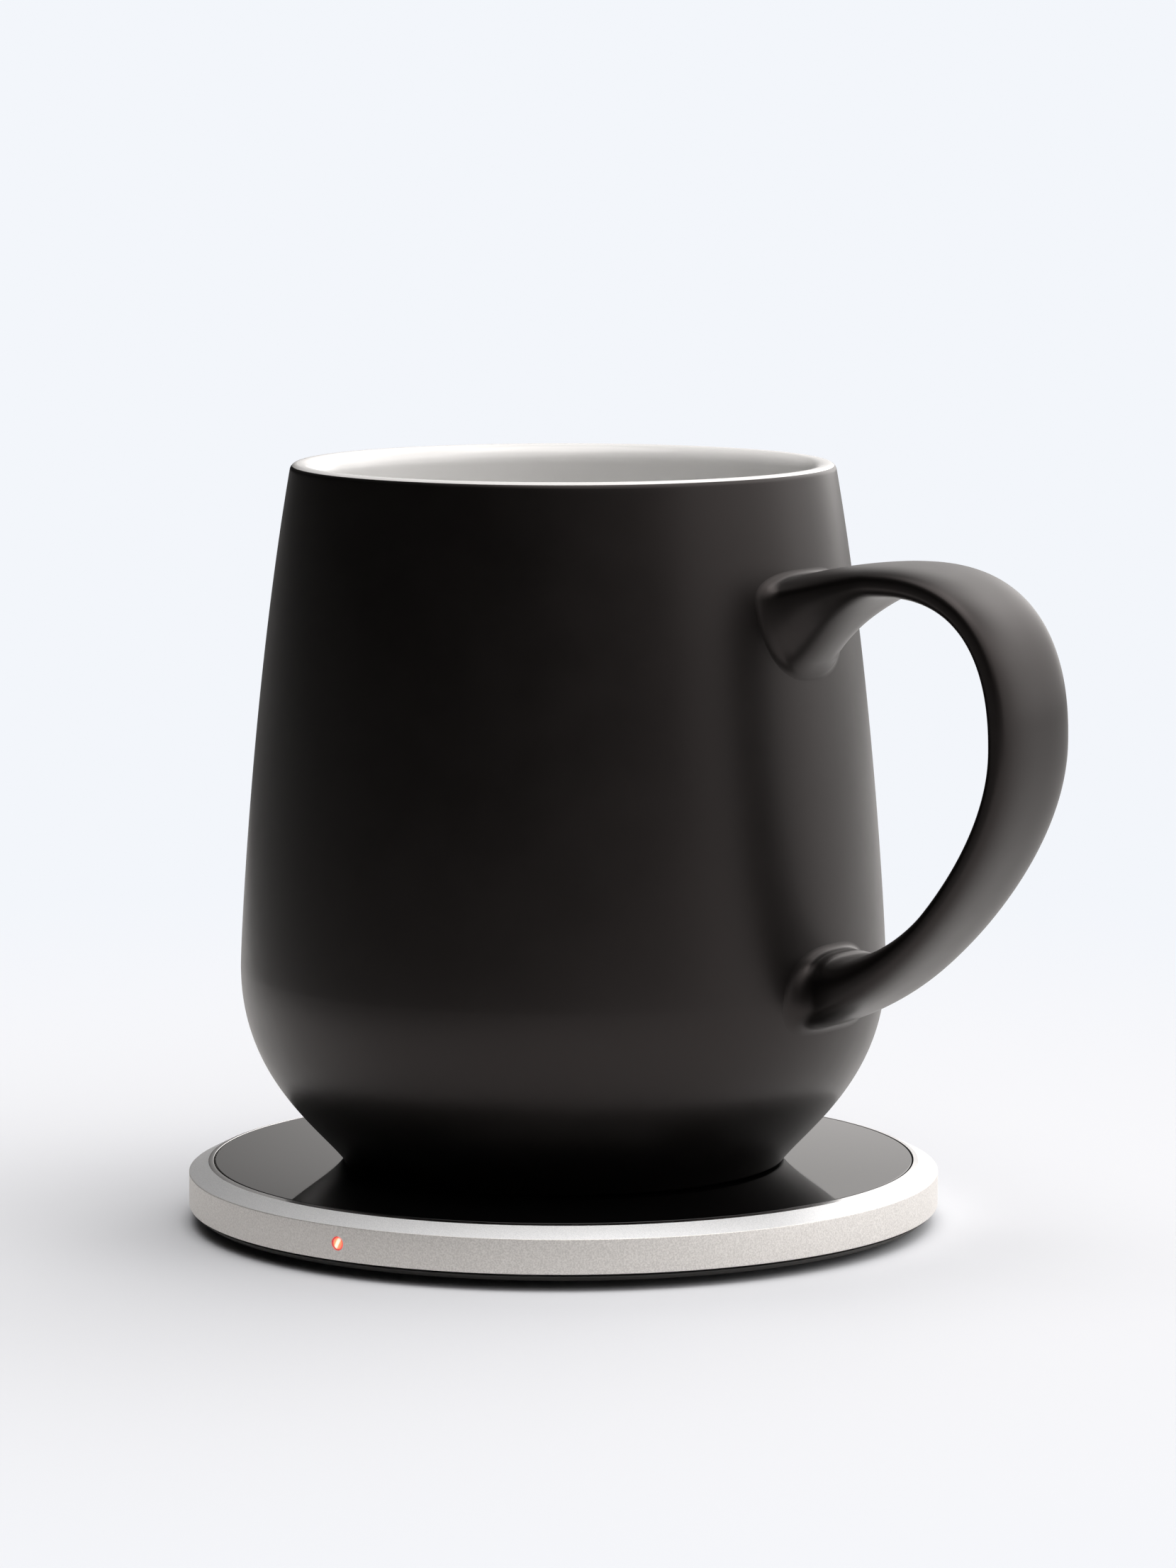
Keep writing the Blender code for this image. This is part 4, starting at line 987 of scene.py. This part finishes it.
def vector_value(tree, kind, first, second=None):
    """A number from one vector, or from a vector and a fixed one."""
    node = tree.nodes.new("ShaderNodeVectorMath")
    node.operation = kind
    tree.links.new(first, node.inputs[0])
    if second is not None:
        node.inputs[1].default_value = second
    return node.outputs["Value"]


def total_of(tree, values):
    total = values[0]
    for value in values[1:]:
        node = tree.nodes.new("ShaderNodeMath")
        node.operation = "ADD"
        tree.links.new(total, node.inputs[0])
        tree.links.new(value, node.inputs[1])
        total = node.outputs[0]
    return total


def shader(tree, kind, color):
    """The output of a simple shader of one colour."""
    node = tree.nodes.new(kind)
    node.inputs["Color"].default_value = (*color, 1)
    return node.outputs[0]


def mixed(tree, share, first, second):
    """The first shader, giving way to the second as the share goes from 0 to 1."""
    mix = tree.nodes.new("ShaderNodeMixShader")
    tree.links.new(share, mix.inputs["Fac"])
    tree.links.new(first, mix.inputs[1])
    tree.links.new(second, mix.inputs[2])
    return mix.outputs[0]


def floor_material():
    """A white sheet. The camera sees it fade into white; as light, it ends in a dark room."""
    material = bpy.data.materials.new("floor_look")
    material.use_nodes = True
    tree = material.node_tree
    tree.nodes.clear()
    place = tree.nodes.new("ShaderNodeTexCoord").outputs["Object"]
    near = shader(tree, "ShaderNodeBsdfDiffuse", SEEN_SHEET)
    white = shader(tree, "ShaderNodeEmission", WHITE)
    from_axis = vector_value(tree, "LENGTH", place)
    seen = mixed(tree, fade(tree, from_axis, *WHITE_EDGE), near, white)
    sheet = shader(tree, "ShaderNodeBsdfDiffuse", SHEET)
    room = shader(tree, "ShaderNodeBsdfDiffuse", ROOM)
    from_middle = vector_value(tree, "DISTANCE", place, way(SHEET_AZIMUTH, 0) * SHEET_PLACE)
    light = mixed(tree, fade(tree, from_middle, *SHEET_EDGE), sheet, room)
    camera_ray = tree.nodes.new("ShaderNodeLightPath").outputs["Is Camera Ray"]
    output = tree.nodes.new("ShaderNodeOutputMaterial")
    tree.links.new(mixed(tree, camera_ray, light, seen), output.inputs["Surface"])
    return material


def add_floor():
    shape = bmesh.new()
    lathe(shape, [(radius, 0) for radius in FLOOR_RADII], FLOOR_SEGMENTS)
    bmesh.ops.recalc_face_normals(shape, faces=shape.faces)
    if shape.faces[0].normal.z < 0:
        bmesh.ops.reverse_faces(shape, faces=shape.faces)
    mesh = smooth_mesh(shape, "floor")
    mesh.materials.append(floor_material())
    floor = bpy.data.objects.new("floor", mesh)
    bpy.context.scene.collection.objects.link(floor)


def add_world():
    """White to the camera. As light: a dark studio with soft boxes, but none on the left."""
    world = bpy.data.worlds.new("studio")
    bpy.context.scene.world = world
    world.use_nodes = True
    tree = world.node_tree
    tree.nodes.clear()
    place = tree.nodes.new("ShaderNodeTexCoord").outputs["Generated"]
    ambient = tree.nodes.new("ShaderNodeValue")
    ambient.outputs[0].default_value = AMBIENT
    strengths = [ambient.outputs[0]]
    for azimuth, elevation, edge, full, strength in LAMPS:
        toward = vector_value(tree, "DOT_PRODUCT", place, way(azimuth, elevation))
        first, last = (math.cos(math.radians(angle)) for angle in (edge, full))
        strengths.append(fade(tree, toward, first, last, strength))
    studio = shader(tree, "ShaderNodeBackground", LAMP_COLOR)
    tree.links.new(total_of(tree, strengths), studio.node.inputs["Strength"])
    white = shader(tree, "ShaderNodeBackground", WHITE)
    camera_ray = tree.nodes.new("ShaderNodeLightPath").outputs["Is Camera Ray"]
    output = tree.nodes.new("ShaderNodeOutputWorld")
    tree.links.new(mixed(tree, camera_ray, studio, white), output.inputs["Surface"])


def add_camera():
    camera = bpy.data.cameras.new("camera")
    camera.sensor_fit = "VERTICAL"
    camera.sensor_height = 36
    camera.lens = CAMERA_LENS
    camera.clip_start = 0.01
    camera.clip_end = 20
    made = bpy.data.objects.new("camera", camera)
    bpy.context.scene.collection.objects.link(made)
    level_place = CAMERA_SIDE * CAMERA_DISTANCE + RIGHT * CAMERA_SHIFT
    made.location = level_place + Vector((0, 0, CAMERA_HEIGHT))
    look = BACK * math.cos(CAMERA_PITCH) + Vector((0, 0, -math.sin(CAMERA_PITCH)))
    made.rotation_euler = look.to_track_quat("-Z", "Y").to_euler()
    bpy.context.scene.camera = made


add_floor()
add_world()
add_camera()
bpy.context.scene.view_settings.view_transform = "Standard"
